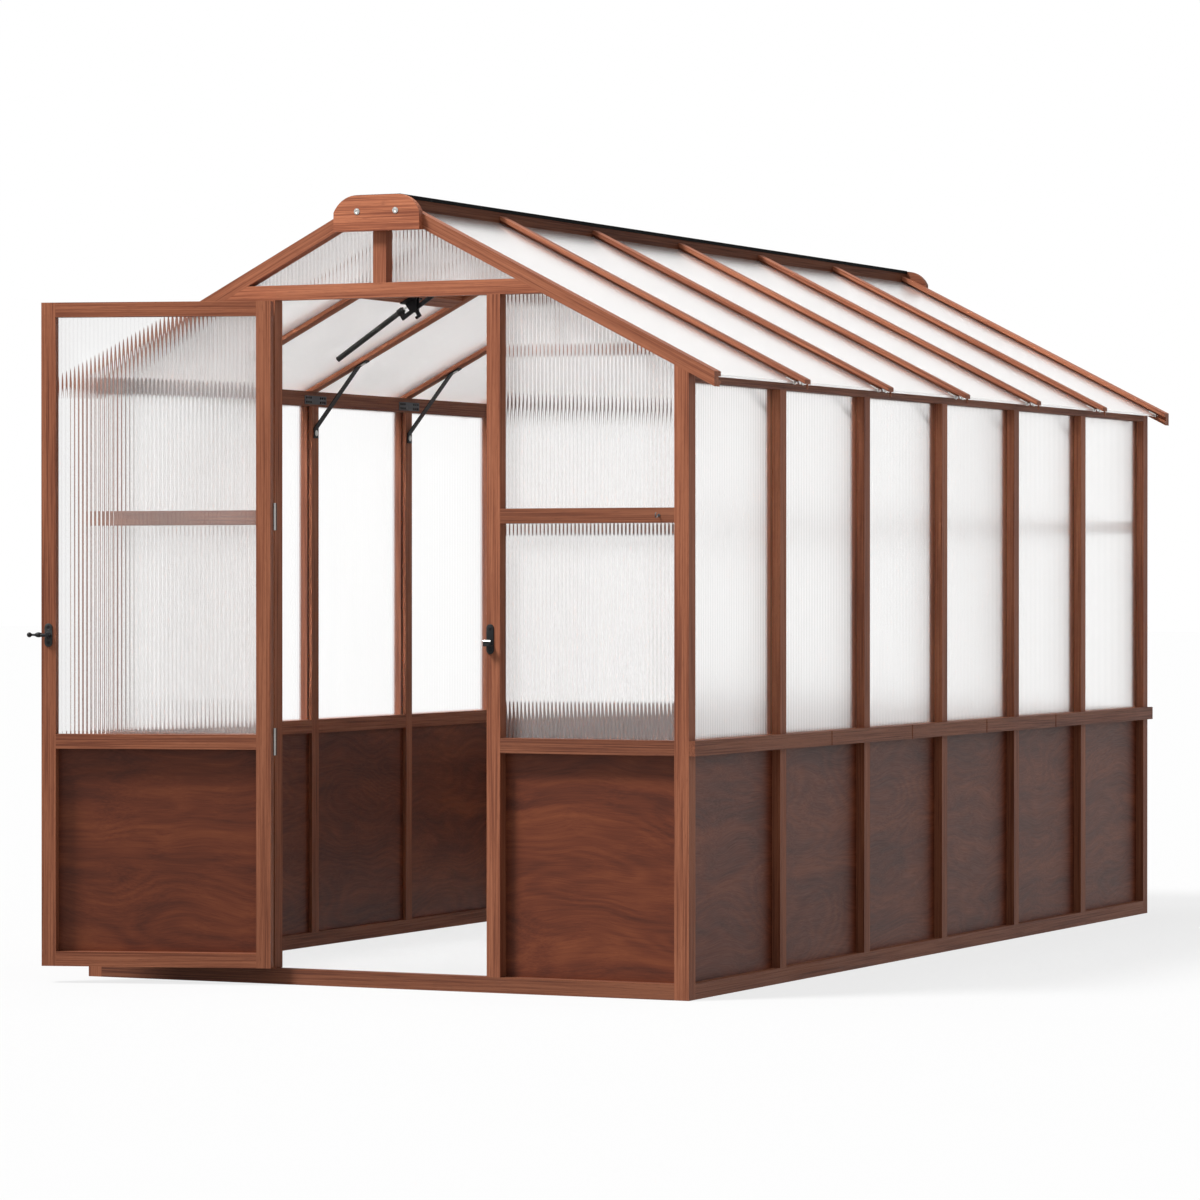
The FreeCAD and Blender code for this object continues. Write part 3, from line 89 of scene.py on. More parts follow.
OPENER_TILT = math.radians(33)
OPENER_PIVOT = Vector((-0.378, 0.9045, 1.88522))
TUBE_RISE = 0.020

# The latch's spindle in the shut door; its plates' middles with the way each one faces.
LATCH_SIDE = 0.299
LATCH_LEVEL = 0.950
PLATE_FACES = ((-0.0225, -1), (0.0205, 1))
PLATE_THICK = 0.003
PLATE_SCREW_RISES = (-0.0205, 0.0205)
# The keeper: level of its trough's floor, back of its lip, middle of the bright strip on the lip,
# which paints the highlight along the lip's top edge.
KEEPER_FLOOR = 0.9255
KEEPER_LIP = -0.0425
STRIP_LEVEL = 0.9385
STRIP_FACE = -0.04375
KEEPER_SCREWS = ((0.334, -0.024, 0.912), (0.334, -0.024, 0.972))
HOOK_SIDE = 0.829
HOOK_LEVEL = 1.271
HOOK_RAIL = -0.021
HOOK_MIDDLE = -0.037

# Places of the other bolts and screws.
CROWN_BOLT = (0.0585, 2.094)
CROWN_FACES = ((-0.041, -1), (3.659, 1))
BRACE_FOOT = (0.869, 1.540)
BRACE_HEAD = (0.710, 1.7439)
SPLICE_FACE = 0.871
SPLICE_STEPS = (-0.056, -0.043, -0.030, 0.030, 0.043, 0.056)
SPLICE_LEVELS = (1.6325, 1.6455)
HINGE_LEVELS = (0.623, 1.236)
HINGE_SCREW_RISES = (0.012, 0.037, 0.062)
HINGE_SCREW_DEPTH = -0.0157
VENT_PIN = Vector((-0.0645, 0.0, 2.12485))
VENT_HINGE = 0.060
VENT_SCREW_STEPS = (0.010, 0.050)

SUN_FROM = Vector((-0.40, -0.41, 0.82))
CAMERA_PLACE = (6.1302, -11.5129, 1.1117)
CAMERA_AHEAD = Vector((-0.42993, 0.90285, -0.00499))

# Where the boards of a wall start along their grain, and how far apart they are.
BOARD_STEPS = {"lengthways": (0.0, BAY), "crossways": (-0.343, 0.686)}

# Turns that bring the grain of a piece onto the X axis.
GRAIN_TURNS = {
    "upright": (0.0, QUARTER, 0.0),
    "crossways": (0.0, 0.0, 0.0),
    "lengthways": (0.0, 0.0, -QUARTER),
    "sloping": (0.0, -ROOF_ANGLE, 0.0),
    "door": (0.0, 0.0, DOOR_ANGLE),
}


# Settings

def colour(name, description, default):
    return bpy.props.FloatVectorProperty(
        name=name, description=description, subtype="COLOR", size=3, min=0.0, max=1.0,
        default=default)


def number(name, description, default, **limits):
    return bpy.props.FloatProperty(
        name=name, description=description, default=default, **{"min": 0.0, **limits})


def length(name, description, default):
    return number(name, description, default, subtype="DISTANCE", unit="LENGTH", precision=4)


def share(name, description, default):
    return number(name, description, default, subtype="FACTOR", max=1.0)


class TimberSettings(bpy.types.PropertyGroup):
    """Stain and grain of the frame and of the boards below the dado"""
    stain_dark: colour("Dark grain", "Colour of the dark grain lines", (0.165, 0.047, 0.023))
    stain: colour("Stain", "Main colour of the stained timber", (0.292, 0.094, 0.045))
    stain_light: colour("Light grain", "Colour between the grain lines", (0.402, 0.144, 0.072))
    # The foot and head settings paint shade on the timber at the ground and light on it at the
    # ridge.
    foot_painted_shade: share("Foot tone", "Tone of the timber at the ground", 0.80)
    head_painted_light: number("Head tone", "Tone of the timber at the ridge", 1.16)
    grain_width: length("Grain width", "Width of a streak of grain", 0.0030)
    grain_length: length("Grain length", "Length of a streak of grain", 0.34)
    sash_rail: length("Sash rail", "Length of the vent sash's rails", 0.511)
    stem: length("Stem", "Thickness of the stem under a rafter's tail", 0.0036)
    board_dark: colour("Dark figure", "Dark figure of the boards", (0.070, 0.0150, 0.0060))
    board: colour("Board", "Main colour of the boards", (0.122, 0.0275, 0.0105))
    board_light: colour("Light figure", "Light figure of the boards", (0.190, 0.0500, 0.0185))


class SheetSettings(bpy.types.PropertyGroup):
    """Twin-wall sheets of the walls and the roof"""
    flute: length("Flute", "Distance between two webs of a sheet", 0.0114)
    end_ripple: length(
        "End ripple", "Half the depth of the flutes in the end walls and the door", 0.0008)
    side_ripple: length("Side ripple", "Half the depth of the flutes in the side walls", 0.0003)
    roof_ripple: length("Roof ripple", "Half the depth of the roof sheets' flutes", 0.0001)
    wall_tint: colour("Wall sheet", "Colour of the wall sheets", (1.0, 0.997, 0.995))
    roof_tint: colour("Roof sheet", "Colour of the roof sheets", (0.985, 0.972, 0.966))
    gleam: share("Gleam", "Light that a sheet's outer face throws back, seen edge on", 0.90)
    end_light: share("End light", "Share of the sunlight that an end wall's sheets let in", 0.75)
    side_light: share("Side light", "Share of the sunlight that a side wall's sheets let in", 0.45)
    roof_light: share("Roof light", "Share of the sunlight that a roof sheet lets in", 0.55)


class MetalSettings(bpy.types.PropertyGroup):
    """Finishes and sizes of the metalwork"""
    black: colour("Black coat", "Colour of the coated metal", (0.012, 0.012, 0.013))
    cap: colour("Ridge cap", "Colour of the ridge cap", (0.005, 0.005, 0.005))
    grey: colour(
        "Grey coat", "Colour of the opener's tube and the latch plates", (0.034, 0.034, 0.033))
    dark_steel: colour("Dark steel", "Colour of the splice plates", (0.075, 0.076, 0.08))
    steel: colour("Steel", "Colour of the plated steel", (0.62, 0.62, 0.60))
    leaf: colour("Hinge leaf", "Colour of the door hinges' leaves", (0.085, 0.036, 0.022))
    knuckle: length("Knuckle", "Radius of the door hinges' knuckles", 0.0034)
    screw: length("Screw", "Radius of a screw head", 0.0038)
    bolt: length("Bolt", "Radius of a bolt's washer", 0.0085)
    plate: length("Latch plate", "Half the width of a latch plate", 0.0110)
    hook_wire: length("Hook wire", "Radius of the screw hook's wire", 0.0016)


class StageSettings(bpy.types.PropertyGroup):
    """Floor, light and camera"""
    sun: number("Sun", "Strength of the sun lamp", 4.3)
    sky: number("Sky", "Level of the even light all round", 0.45)
    sun_width: number("Sun width", "Angle that the sun lamp covers", math.radians(14),
                      subtype="ANGLE", unit="ROTATION")
    floor: colour("Floor", "Colour of the floor", (0.61, 0.61, 0.61))
    shadow: share("Shadow", "How much of the shadow the floor shows", 0.22)
    lens: number("Lens", "Focal length of the camera in millimetres", 144.84, min=1.0)


# Materials

class Finish:
    """A material or world under construction, with short calls for its nodes."""

    def __init__(self, name, kind="materials"):
        self.owner = getattr(bpy.data, kind).new(name)
        self.owner.use_nodes = True
        self.tree = self.owner.node_tree
        self.tree.nodes.clear()

    def add(self, kind, inputs=(), **settings):
        """Add a shader node, fill its inputs and return its outputs."""
        node = self.tree.nodes.new("ShaderNode" + kind)
        for key, value in settings.items():
            setattr(node, key, value)
        for key, value in dict(inputs).items():
            if isinstance(value, bpy.types.NodeSocket):
                self.tree.links.new(value, node.inputs[key])
            else:
                node.inputs[key].default_value = value
        return node.outputs

    def place(self, turn=(0.0, 0.0, 0.0), fold=False):
        """Place on the piece, turned so that the grain runs along X; fold joins both slopes."""
        vector = self.add("TexCoord")["Object"]
        if fold:
            vector = self.vectors("ABSOLUTE", vector)
        return self.add("Mapping", {"Vector": vector, "Rotation": turn})[0]

    def maths(self, operation, *values):
        return self.add("Math", enumerate(values), operation=operation)[0]

    def times(self, *values):
        return self.maths("MULTIPLY", *values)

    def vectors(self, operation, *values):
        return self.add("VectorMath", enumerate(values), operation=operation)[0]

    def axis(self, vector, name):
        return self.add("SeparateXYZ", {0: vector})[name]

    def cloud(self, vector, sizes, detail=2.0, roughness=0.5, output=0):
        """Noise whose features have these sizes along the three axes."""
        scale = [1.0 / size for size in sizes]
        fitted = self.add("Mapping", {"Vector": vector, "Scale": scale})[0]
        return self.add("TexNoise", {
            "Vector": fitted, "Scale": 1.0, "Detail": detail, "Roughness": roughness,
        })[output]

    def between(self, value, low, high, new_low=0.0, new_high=1.0):
        return self.add("MapRange", {
            "Value": value, "From Min": low, "From Max": high,
            "To Min": new_low, "To Max": new_high})[0]

    def ramp(self, value, *stops):
        output = self.add("ValToRGB", {"Fac": value})["Color"]
        elements = output.node.color_ramp.elements
        while len(elements) < len(stops):
            elements.new(0.5)
        for element, (position, tint) in zip(elements, stops):
            element.position = position
            element.color = (*tint, 1.0)
        return output

    def blend(self, factor, first, second):
        return self.add("Mix", {0: factor, 6: opaque(first), 7: opaque(second)},
                        data_type="RGBA")[2]

    def mix(self, factor, first, second):
        return self.add("MixShader", {0: factor, 1: first, 2: second})[0]

    def bump(self, height, distance, strength=1.0):
        return self.add("Bump", {
            "Strength": strength, "Distance": distance, "Height": height})["Normal"]

    def principled(self, **inputs):
        names = {key.replace("_", " "): value for key, value in inputs.items()}
        return self.add("BsdfPrincipled", names)["BSDF"]

    def done(self, shader):
        self.add("OutputMaterial", {"Surface": shader})
        return self.owner


def opaque(tint):
    """A colour socket's value, with its fourth number."""
    return tint if isinstance(tint, bpy.types.NodeSocket) else (*tint, 1.0)


def stained_timber(name, way, tone_and_painted_light, settings, shine=0.25):
    """Stained softwood: growth rings, streaks and short dark pores; painted shade darkens it
    towards the ground and painted light lightens it towards the ridge.
    """
    finish = Finish(f"stained_timber_{name}")
    if way == "sash":
        stiles = finish.place(GRAIN_TURNS["sloping"], fold=True)
        rails = finish.place(GRAIN_TURNS["lengthways"])
        along = finish.axis(finish.place(), "Y")
        off_middle = finish.maths("ABSOLUTE", finish.maths("SUBTRACT", along, VENT_MIDDLE))
        place = finish.add("Mix", {
            0: finish.maths("GREATER_THAN", off_middle, settings.sash_rail / 2),
            4: rails, 5: stiles}, data_type="VECTOR")[1]
    else:
        place = finish.place(GRAIN_TURNS[way], fold=way == "sloping")
    wide, long = settings.grain_width, settings.grain_length
    tone = finish.cloud(place, (0.9, 0.06, 0.06))
    heart = finish.cloud(place, (2.4, 0.045, 0.045), detail=1.0)
    rings = finish.maths("SINE", finish.times(heart, 60.0))
    streaks = finish.cloud(place, (long, wide, wide), detail=4.0, roughness=0.65)
    pores = finish.cloud(place, (0.030, 0.0009, 0.0009), detail=1.0)
    figure = finish.maths("MULTIPLY_ADD", rings, 0.040, streaks)
    figure = finish.maths("MULTIPLY_ADD", finish.maths("SUBTRACT", tone, 0.5), 0.45, figure)
    base = finish.ramp(figure, (0.35, settings.stain_dark), (0.48, settings.stain),
                       (0.64, settings.stain_light))
    dark_pores = finish.between(pores, 0.60, 0.72)
    base = finish.blend(finish.times(dark_pores, 0.60), base, settings.stain_dark)
    # Painted light and shade: the stain darkens towards the ground and lightens towards the ridge,
    # scaled by the piece's tone.
    shade = finish.between(finish.axis(finish.place(), "Z"), 0.0, APEX,
                           settings.foot_painted_shade * tone_and_painted_light, settings.head_painted_light * tone_and_painted_light)
    base = finish.add("VectorMath", {0: base, 3: shade}, operation="SCALE")[0]
    height = finish.maths("MULTIPLY_ADD", dark_pores, -0.6, streaks)
    return finish.done(finish.principled(
        Base_Color=base, Roughness=finish.between(streaks, 0.3, 0.7, 0.66, 0.52),
        Specular_IOR_Level=shine, Normal=finish.bump(height, 0.0006, 0.5)))


def figured_board(way, settings):
    """Dark veneered board with a long flowing figure; each board has its own."""
    finish = Finish(f"figured_board_{way}")
    place = finish.place(GRAIN_TURNS[way])
    if way in BOARD_STEPS:
        start, step = BOARD_STEPS[way]
        along = finish.maths("SUBTRACT", finish.axis(place, "X"), start)
        board = finish.maths("FLOOR", finish.maths("DIVIDE", along, step))
        shift = finish.add("CombineXYZ", {
            "X": finish.times(board, 0.37),
            "Z": finish.times(board, 1.71)})
        place = finish.vectors("ADD", place, shift[0])
    sway = finish.cloud(place, (0.34, 0.24, 0.24), detail=1.0, output=1)
    sway = finish.vectors("MULTIPLY", finish.vectors("SUBTRACT", sway, (0.5, 0.5, 0.5)),
                          (0.18, 0.11, 0.11))
    place = finish.vectors("ADD", place, sway)
    heart = finish.cloud(place, (0.95, 0.20, 0.20), detail=1.0)
    rings = finish.maths("SINE", finish.times(heart, 130.0))
    broad = finish.cloud(place, (0.50, 0.070, 0.070), detail=3.0)
    streaks = finish.cloud(place, (0.30, 0.0090, 0.0090), detail=2.0)
    fine = finish.cloud(place, (0.12, 0.0024, 0.0024), detail=4.0, roughness=0.6)
    figure = finish.between(broad, 0.0, 1.0, 0.14, 0.86)
    figure = finish.maths("MULTIPLY_ADD", rings, 0.040, figure)
    figure = finish.maths("MULTIPLY_ADD", finish.maths("SUBTRACT", streaks, 0.5), 0.22, figure)
    figure = finish.maths("MULTIPLY_ADD", finish.maths("SUBTRACT", fine, 0.5), 0.34, figure)
    base = finish.ramp(figure, (0.32, settings.board_dark), (0.50, settings.board),
                       (0.70, settings.board_light))
    return finish.done(finish.principled(
        Base_Color=base, Roughness=finish.between(fine, 0.3, 0.7, 0.55, 0.42),
        Specular_IOR_Level=0.25, Normal=finish.bump(fine, 0.0003, 0.4)))


def twin_wall(name, way, settings, tint, light, bend, rough, opal, gleam=0.0, ripple=0.0):
    """Clear twin-wall sheet with a thin web between two flutes; its outer face gleams edge on."""
    finish = Finish(name)
    place = finish.place(GRAIN_TURNS[way])
    turns = finish.times(finish.axis(place, "X"), 2 * math.pi / settings.flute)
    wave = finish.maths("COSINE", turns)
    haze = finish.cloud(place, (0.05, 0.4, 0.4), detail=3.0)
    web = finish.between(wave, -0.86, -0.98)
    base = finish.blend(web, tint, [part * 0.94 for part in tint])
    roughness = finish.between(haze, 0.3, 0.7, rough * 0.85, rough * 1.15)
    relief = {"Normal": finish.bump(wave, ripple)} if ripple else {}
    sheet = finish.principled(
        Base_Color=base, Roughness=roughness, Transmission_Weight=1.0 - opal, IOR=bend, **relief)
    if gleam:
        side = finish.add("NewGeometry")
        outward = finish.times(finish.axis(side["Normal"], "X"), finish.axis(finish.place(), "X"))
        outer = finish.maths("GREATER_THAN", outward, 0.0)
        outer = finish.times(outer, finish.maths("SUBTRACT", 1.0, side["Backfacing"]))
        slant = finish.add("LayerWeight", {"Blend": 0.5})["Facing"]
        shine = finish.times(finish.times(outer, slant), gleam)
        mirror = finish.add("BsdfGlossy", {"Color": opaque(tint), "Roughness": 0.2})[0]
        sheet = finish.mix(shine, sheet, mirror)
    path = finish.add("LightPath")
    lamps = finish.times(path["Is Shadow Ray"], light)
    return finish.done(finish.mix(lamps, sheet, finish.add("BsdfTransparent")[0]))


def coated_metal(name, tint, gloss, shine=0.2):
    """Coated metal with the faint pebbling of a powder coat."""
    finish = Finish(name)
    place = finish.place()
    pebbles = finish.cloud(place, [0.0016] * 3)
    wear = finish.cloud(place, [0.03] * 3, detail=4.0)
    worn = [part * 2.2 + 0.01 for part in tint]
    base = finish.blend(finish.between(wear, 0.55, 0.75), tint, worn)
    return finish.done(finish.principled(
        Base_Color=base, Roughness=finish.between(wear, 0.3, 0.7, gloss, gloss + 0.14),
        Specular_IOR_Level=shine, Normal=finish.bump(pebbles, 0.0002, 0.4)))


def plated_steel(settings):
    """Zinc-plated steel with soft spangles."""
    finish = Finish("plated_steel")
    place = finish.place()
    spangle = finish.cloud(place, [0.004] * 3, detail=3.0)
    dull = [part * 0.72 for part in settings.steel]
    base = finish.blend(finish.between(spangle, 0.35, 0.65), dull, settings.steel)
    return finish.done(finish.principled(
        Base_Color=base, Metallic=1.0, Roughness=finish.between(spangle, 0.3, 0.7, 0.28, 0.46)))


def hinge_steel(settings):
    """Door hinge: bright knuckles round the pin, brown leaves let into the wood."""
    finish = Finish("hinge_steel")
    place = finish.place()
    spangle = finish.cloud(place, [0.003] * 3, detail=3.0)
    flat = finish.vectors("MULTIPLY", finish.vectors("SUBTRACT", place, DOOR_PIN), (1.0, 1.0, 0.0))
    reach = finish.add("VectorMath", {0: flat}, operation="LENGTH")["Value"]
    leaf = finish.between(reach, settings.knuckle, settings.knuckle + 0.0006)
    dull = [part * 0.85 for part in settings.steel]
    worn = [part * 1.5 for part in settings.leaf]
    bright = finish.blend(finish.between(spangle, 0.35, 0.65), dull, settings.steel)
    brown = finish.blend(finish.between(spangle, 0.45, 0.75), settings.leaf, worn)
    return finish.done(finish.principled(
        Base_Color=finish.blend(leaf, bright, brown),
        Metallic=finish.between(leaf, 0.0, 1.0, 1.0, 0.2),
        Roughness=finish.between(spangle, 0.3, 0.7, 0.34, 0.50)))


def material(name):
    found = bpy.data.materials.get(name)
    if found is None:
        raise RuntimeError(f"the finish {name} hasn't been made yet")
    return found


def finish_nodes(names, finish):
    """Give CAD nodes a finish."""
    for name in names:
        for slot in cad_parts[name].material_slots:
            slot.material = finish


# Modelling by hand

def begin():
    """Object mode with nothing selected."""
    if bpy.context.mode != "OBJECT":
        bpy.ops.object.mode_set(mode="OBJECT")
    bpy.ops.object.select_all(action="DESELECT")


def block(place, size, turn=0.0):
    """Add a plain block, turned about the upright axis."""
    begin()
    bpy.ops.mesh.primitive_cube_add(
        size=1.0, location=place, rotation=(0.0, 0.0, turn), scale=size)


def cylinder(sides, radius, depth, place, turn=(0.0, 0.0, 0.0)):
    """Add a plain cylinder."""
    begin()
    bpy.ops.mesh.primitive_cylinder_add(
        vertices=sides, radius=radius, depth=depth, location=place, rotation=turn)


def shape(kind):
    """Edit the piece just added, choosing vertices, edges or faces."""
    bpy.ops.object.transform_apply(location=True, rotation=True, scale=True)
    bpy.ops.object.mode_set(mode="EDIT")
    bpy.ops.mesh.select_mode(type=kind)


def choose_all():
    bpy.ops.mesh.select_all(action="SELECT")


def choose(kind, test):
    """Select the vertices, edges or faces that pass a test."""
    piece = bpy.context.edit_object
    bpy.ops.mesh.select_mode(type=kind)
    bpy.ops.mesh.select_all(action="DESELECT")
    mesh = bmesh.from_edit_mesh(piece.data)
    parts = {"VERT": mesh.verts, "EDGE": mesh.edges, "FACE": mesh.faces}[kind]
    found = [part for part in parts if test(part)]
    if not found:
        raise RuntimeError(f"nothing to select on {piece.name}")
    for part in found:
        part.select_set(True)
    mesh.select_flush_mode()
    bmesh.update_edit_mesh(piece.data)


def move(x=0.0, y=0.0, z=0.0):
    bpy.ops.transform.translate(value=(x, y, z))


def extrude(offset):
    bpy.ops.mesh.extrude_region_move(TRANSFORM_OT_translate={"value": tuple(offset)})


def widen(factor, centre):
    bpy.ops.transform.resize(value=(factor, factor, factor), center_override=tuple(centre))


def close():
    """Merge, turn the faces outwards and go back to object mode."""
    choose_all()
    bpy.ops.mesh.remove_doubles(threshold=1e-6)
    bpy.ops.mesh.normals_make_consistent(inside=False)
    bpy.ops.object.mode_set(mode="OBJECT")
    return bpy.context.object


def carve(piece, cutter):
    """Cut one piece out of another."""
    modifier = piece.modifiers.new("carve", "BOOLEAN")
    modifier.operation = "DIFFERENCE"
    modifier.object = cutter
    bpy.context.view_layer.objects.active = piece
    bpy.ops.object.modifier_apply(modifier=modifier.name)
    bpy.data.objects.remove(cutter)


def join(pieces):
    """Join pieces into the first one."""
    begin()
    for piece in pieces:
        piece.select_set(True)
    bpy.context.view_layer.objects.active = pieces[0]
    bpy.ops.object.join()
    return pieces[0]


def fit(piece, name, body, slot, finish, *nodes):
    """Name a finished piece, give it its finish and let it ride on its body."""
    begin()
    piece.select_set(True)
    bpy.context.view_layer.objects.active = piece
    bpy.ops.object.transform_apply(location=True, rotation=True, scale=True)
    bpy.ops.object.shade_smooth_by_angle(angle=math.radians(35))
    piece.name = name
    piece.data.name = name
    piece.data.materials.clear()
    piece.data.materials.append(material(finish))
    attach(piece, body)
    if nodes:
        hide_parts(*nodes)


def about_pin(angle):
    """Turn about the door's hinge pin."""
    return (Matrix.Translation(DOOR_PIN) @ Matrix.Rotation(angle, 4, "Z")
            @ Matrix.Translation(-DOOR_PIN))


def swing_open(piece):
    """Turn a piece made on the shut door about the hinge pin."""
    piece.matrix_world = about_pin(-DOOR_ANGLE) @ piece.matrix_world
    return piece


def turned(start, axis, rings, sides):
    """Turned piece: rings of (distance along the axis, radius), each extruded from the last."""
    start, axis = Vector(start), Vector(axis).normalized()
    begin()
    bpy.ops.mesh.primitive_circle_add(
        vertices=sides, radius=rings[0][1], fill_type="NGON", location=start + axis * rings[0][0],
        rotation=axis.to_track_quat("Z", "Y").to_euler())
    shape("FACE")
    choose_all()
    for (before, old_radius), (along, radius) in zip(rings, rings[1:]):
        extrude(axis * (along - before))
        widen(radius / old_radius, start + axis * along)
    return close()


def rounded(stations):
    """Rings of a turned piece from (centre, half length, radius) swellings and plain rings."""
    rings = []
    for station in stations:
        if len(station) == 2:
            rings.append(station)
            continue
        centre, half, radius = station
        for angle in (30, 50, 70, 90, 110, 130, 150):
            rings.append((centre - half * math.cos(math.radians(angle)),
                          radius * math.sin(math.radians(angle))))
    return rings


def long_plate(centre, radius, reach, thick, facing):
    """Round-ended upright plate with an eased front edge; facing is -1 or 1 along Y."""
    cylinder(30, radius, thick, centre, (QUARTER, 0.0, 0.0))
    shape("VERT")
    choose("VERT", lambda vert: vert.co.z > centre[2])
    move(z=reach)
    choose("VERT", lambda vert: vert.co.z < centre[2])
    move(z=-reach)
    choose("FACE", lambda face: face.normal.y * facing > 0.9)
    bpy.ops.mesh.bevel(offset=min(thick, radius) * 0.45, segments=3)
    return close()


def panes(name, turn=Matrix.Identity(4)):
    """Low and high corners of the separate sheets of a CAD node, after a turn."""
    mesh = bmesh.new()
    mesh.from_mesh(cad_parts[name].data)
    mesh.transform(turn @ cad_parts[name].matrix_world)
    bmesh.ops.remove_doubles(mesh, verts=mesh.verts, dist=1e-5)
    boxes = []
    left = set(mesh.verts)
    while left:
        sheet, edge = set(), {left.pop()}
        while edge:
            sheet |= edge
            edge = {other.other_vert(vert) for vert in edge for other in vert.link_edges} - sheet
        left -= sheet
        boxes.append((Vector([min(vert.co[axis] for vert in sheet) for axis in range(3)]),
                      Vector([max(vert.co[axis] for vert in sheet) for axis in range(3)])))
    mesh.free()
    return sorted(boxes, key=lambda box: [round(value, 4) for value in (*box[0], *box[1])])


def fluted_sheet(box, flute, depth, shift=0.0, gable=False):
    """Sheet in a box: one flute shaped, repeated and trimmed; gable sheets end at the roof."""
    low, high = box
    middle, steps = (low.y + high.y) / 2, 8
    first = shift + flute * (math.floor((low.x - shift) / flute - 0.5) + 0.5)
    block((first + flute / 2, middle, (low.z + high.z) / 2),
          (flute, high.y - low.y, high.z - low.z))
    shape("EDGE")
    choose("EDGE", lambda edge: abs(edge.verts[0].co.x - edge.verts[1].co.x) > flute / 2)
    bpy.ops.mesh.subdivide(number_cuts=steps - 1)
    for step in range(steps + 1):
        place = first + flute * step / steps
        for facing in (-1, 1):
            choose("VERT", lambda vert: abs(vert.co.x - place) < flute / steps / 4
                   and (vert.co.y - middle) * facing > 0)
            move(y=-facing * depth * (1 + math.cos(2 * math.pi * step / steps)))
    choose("FACE", lambda face: abs(face.normal.x) > 0.9)
    bpy.ops.mesh.delete(type="FACE")
    sheet = close()
    row = sheet.modifiers.new("row", "ARRAY")
    row.count = math.floor((high.x - first) / flute) + 1
    row.use_relative_offset = False
    row.use_constant_offset = True
    row.constant_offset_displace = (flute, 0.0, 0.0)
    row.use_merge_vertices = True
    row.merge_threshold = 1e-5
    bpy.ops.object.modifier_apply(modifier=row.name)
    bpy.ops.object.mode_set(mode="EDIT")
    trim((low.x, 0.0, 0.0), (-1.0, 0.0, 0.0))
    trim((high.x, 0.0, 0.0), (1.0, 0.0, 0.0))
    side = math.copysign(1.0, low.x + high.x)
    outer = max(abs(low.x), abs(high.x))
    if gable and low.x * high.x > 0 and SHEET_APEX - ROOF_SLOPE * outer < high.z - 1e-4:
        trim((0.0, 0.0, SHEET_APEX), (side * ROOF_SLOPE, 0.0, 1.0))
    return close()


def trim(point, away):
    """Cut off everything beyond a plane and close the cut."""
    choose_all()
    bpy.ops.mesh.bisect(plane_co=point, plane_no=away, use_fill=True, clear_outer=True)


def pan_screw(radius, height):
    """Screw head with a cross recess, its face up."""
    cylinder(12, radius, height, (0.0, 0.0, height / 2))
    shape("FACE")
    choose("FACE", lambda face: face.normal.z > 0.9)
    bpy.ops.mesh.bevel(offset=height * 0.45, segments=2)
    screw = close()
    for angle in (0.0, QUARTER):
        block((0.0, 0.0, height), (radius * 1.15, radius * 0.26, height * 1.1), angle)
        carve(screw, bpy.context.object)
    return screw


def dome_bolt(radius):
    """Bolt with a washer and a domed head, its face up."""
    cylinder(20, radius, 0.0012, (0.0, 0.0, 0.0006))
    shape("FACE")
    choose("FACE", lambda face: face.normal.z > 0.9)
    bpy.ops.mesh.inset(thickness=radius * 0.28)
    for rise, factor in ((0.0010, 0.98), (0.0008, 0.84), (0.0005, 0.62), (0.0002, 0.5)):
        extrude((0.0, 0.0, rise))
        widen(factor, (0.0, 0.0, 0.0))
    return close()


def repeat(pattern, moves):
    """Copy a pattern once for each move and join the copies into one piece."""
    copies = []
    for move in moves:
        copy = pattern.copy()
        copy.data = pattern.data.copy()
        copy.data.transform(move)
        bpy.context.scene.collection.objects.link(copy)
        copies.append(copy)
    return join(copies)


def set_fixings(name, pattern, places, body, slot, finish, *nodes):
    """Set copies of a screw or bolt at (point, facing) places, each turned a little further."""
    moves = []
    for index, (point, facing) in enumerate(places):
        turn = Vector(facing).to_track_quat("Z", "Y").to_matrix().to_4x4()
        moves.append(Matrix.Translation(point) @ turn @ Matrix.Rotation(index * 2.4, 4, "Z"))
    fit(repeat(pattern, moves), name, body, slot, finish, *nodes)


# Operators

class StainTimber(bpy.types.Operator):
    """Stain every post, rail, rafter and board of the frame along its grain"""
    bl_idname = "greenhouse.stain_timber"
    bl_label = "Stain timber"

    def execute(self, context):
        settings = context.scene.greenhouse_timber
        # Each piece's tone scales its stain. The rails' lower tone is their own. The rear crown
        # plate (0.60) and the wall plates (0.58) are darkened as painted shade. The front crown
        # plate (1.36) and the tie beams (1.14) are lightened partly by their own tone and partly
        # as painted light from above.
        for name, way, tone, nodes in (
                ("upright", "upright", 1.0, UPRIGHT), ("rails", "crossways", 0.72, CROSSWAYS),
                ("gable", "crossways", 1.14, GABLE),
                ("crown", "crossways", 1.36, ("crown_plate_front",)),
                ("rear_crown_painted_shade", "crossways", 0.60, ("crown_plate_rear",)),
                ("lengthways", "lengthways", 0.92, LENGTHWAYS),
                ("caps", "lengthways", 0.74, CAPS), ("plates", "lengthways", 0.58, PLATES),
                ("sloping", "sloping", 0.96, SLOPING), ("sash", "sash", 1.0, ("vent_sash",)),
                ("door", "door", 1.03, ("door_rails",))):
            finish_nodes(nodes, stained_timber(name, way, tone, settings))
        # The ridge boards are darkened to 0.34 as painted shade under the ridge cap, and their
        # shine is kept low.
        finish_nodes(("ridge_boards",),
                     stained_timber("ridge", "lengthways", 0.34, settings, shine=0.06))
        return {"FINISHED"}


class FigureBoards(bpy.types.Operator):
    """Give the boards below the dado their swirling figure"""
    bl_idname = "greenhouse.figure_boards"
    bl_label = "Figure boards"

    def execute(self, context):
        settings = context.scene.greenhouse_timber
        for way, names in (("crossways", ("end_panels",)), ("door", ("door_panel",)),
                           ("lengthways", ("side_panels_right", "side_panels_left"))):
            finish_nodes(names, figured_board(way, settings))
        return {"FINISHED"}


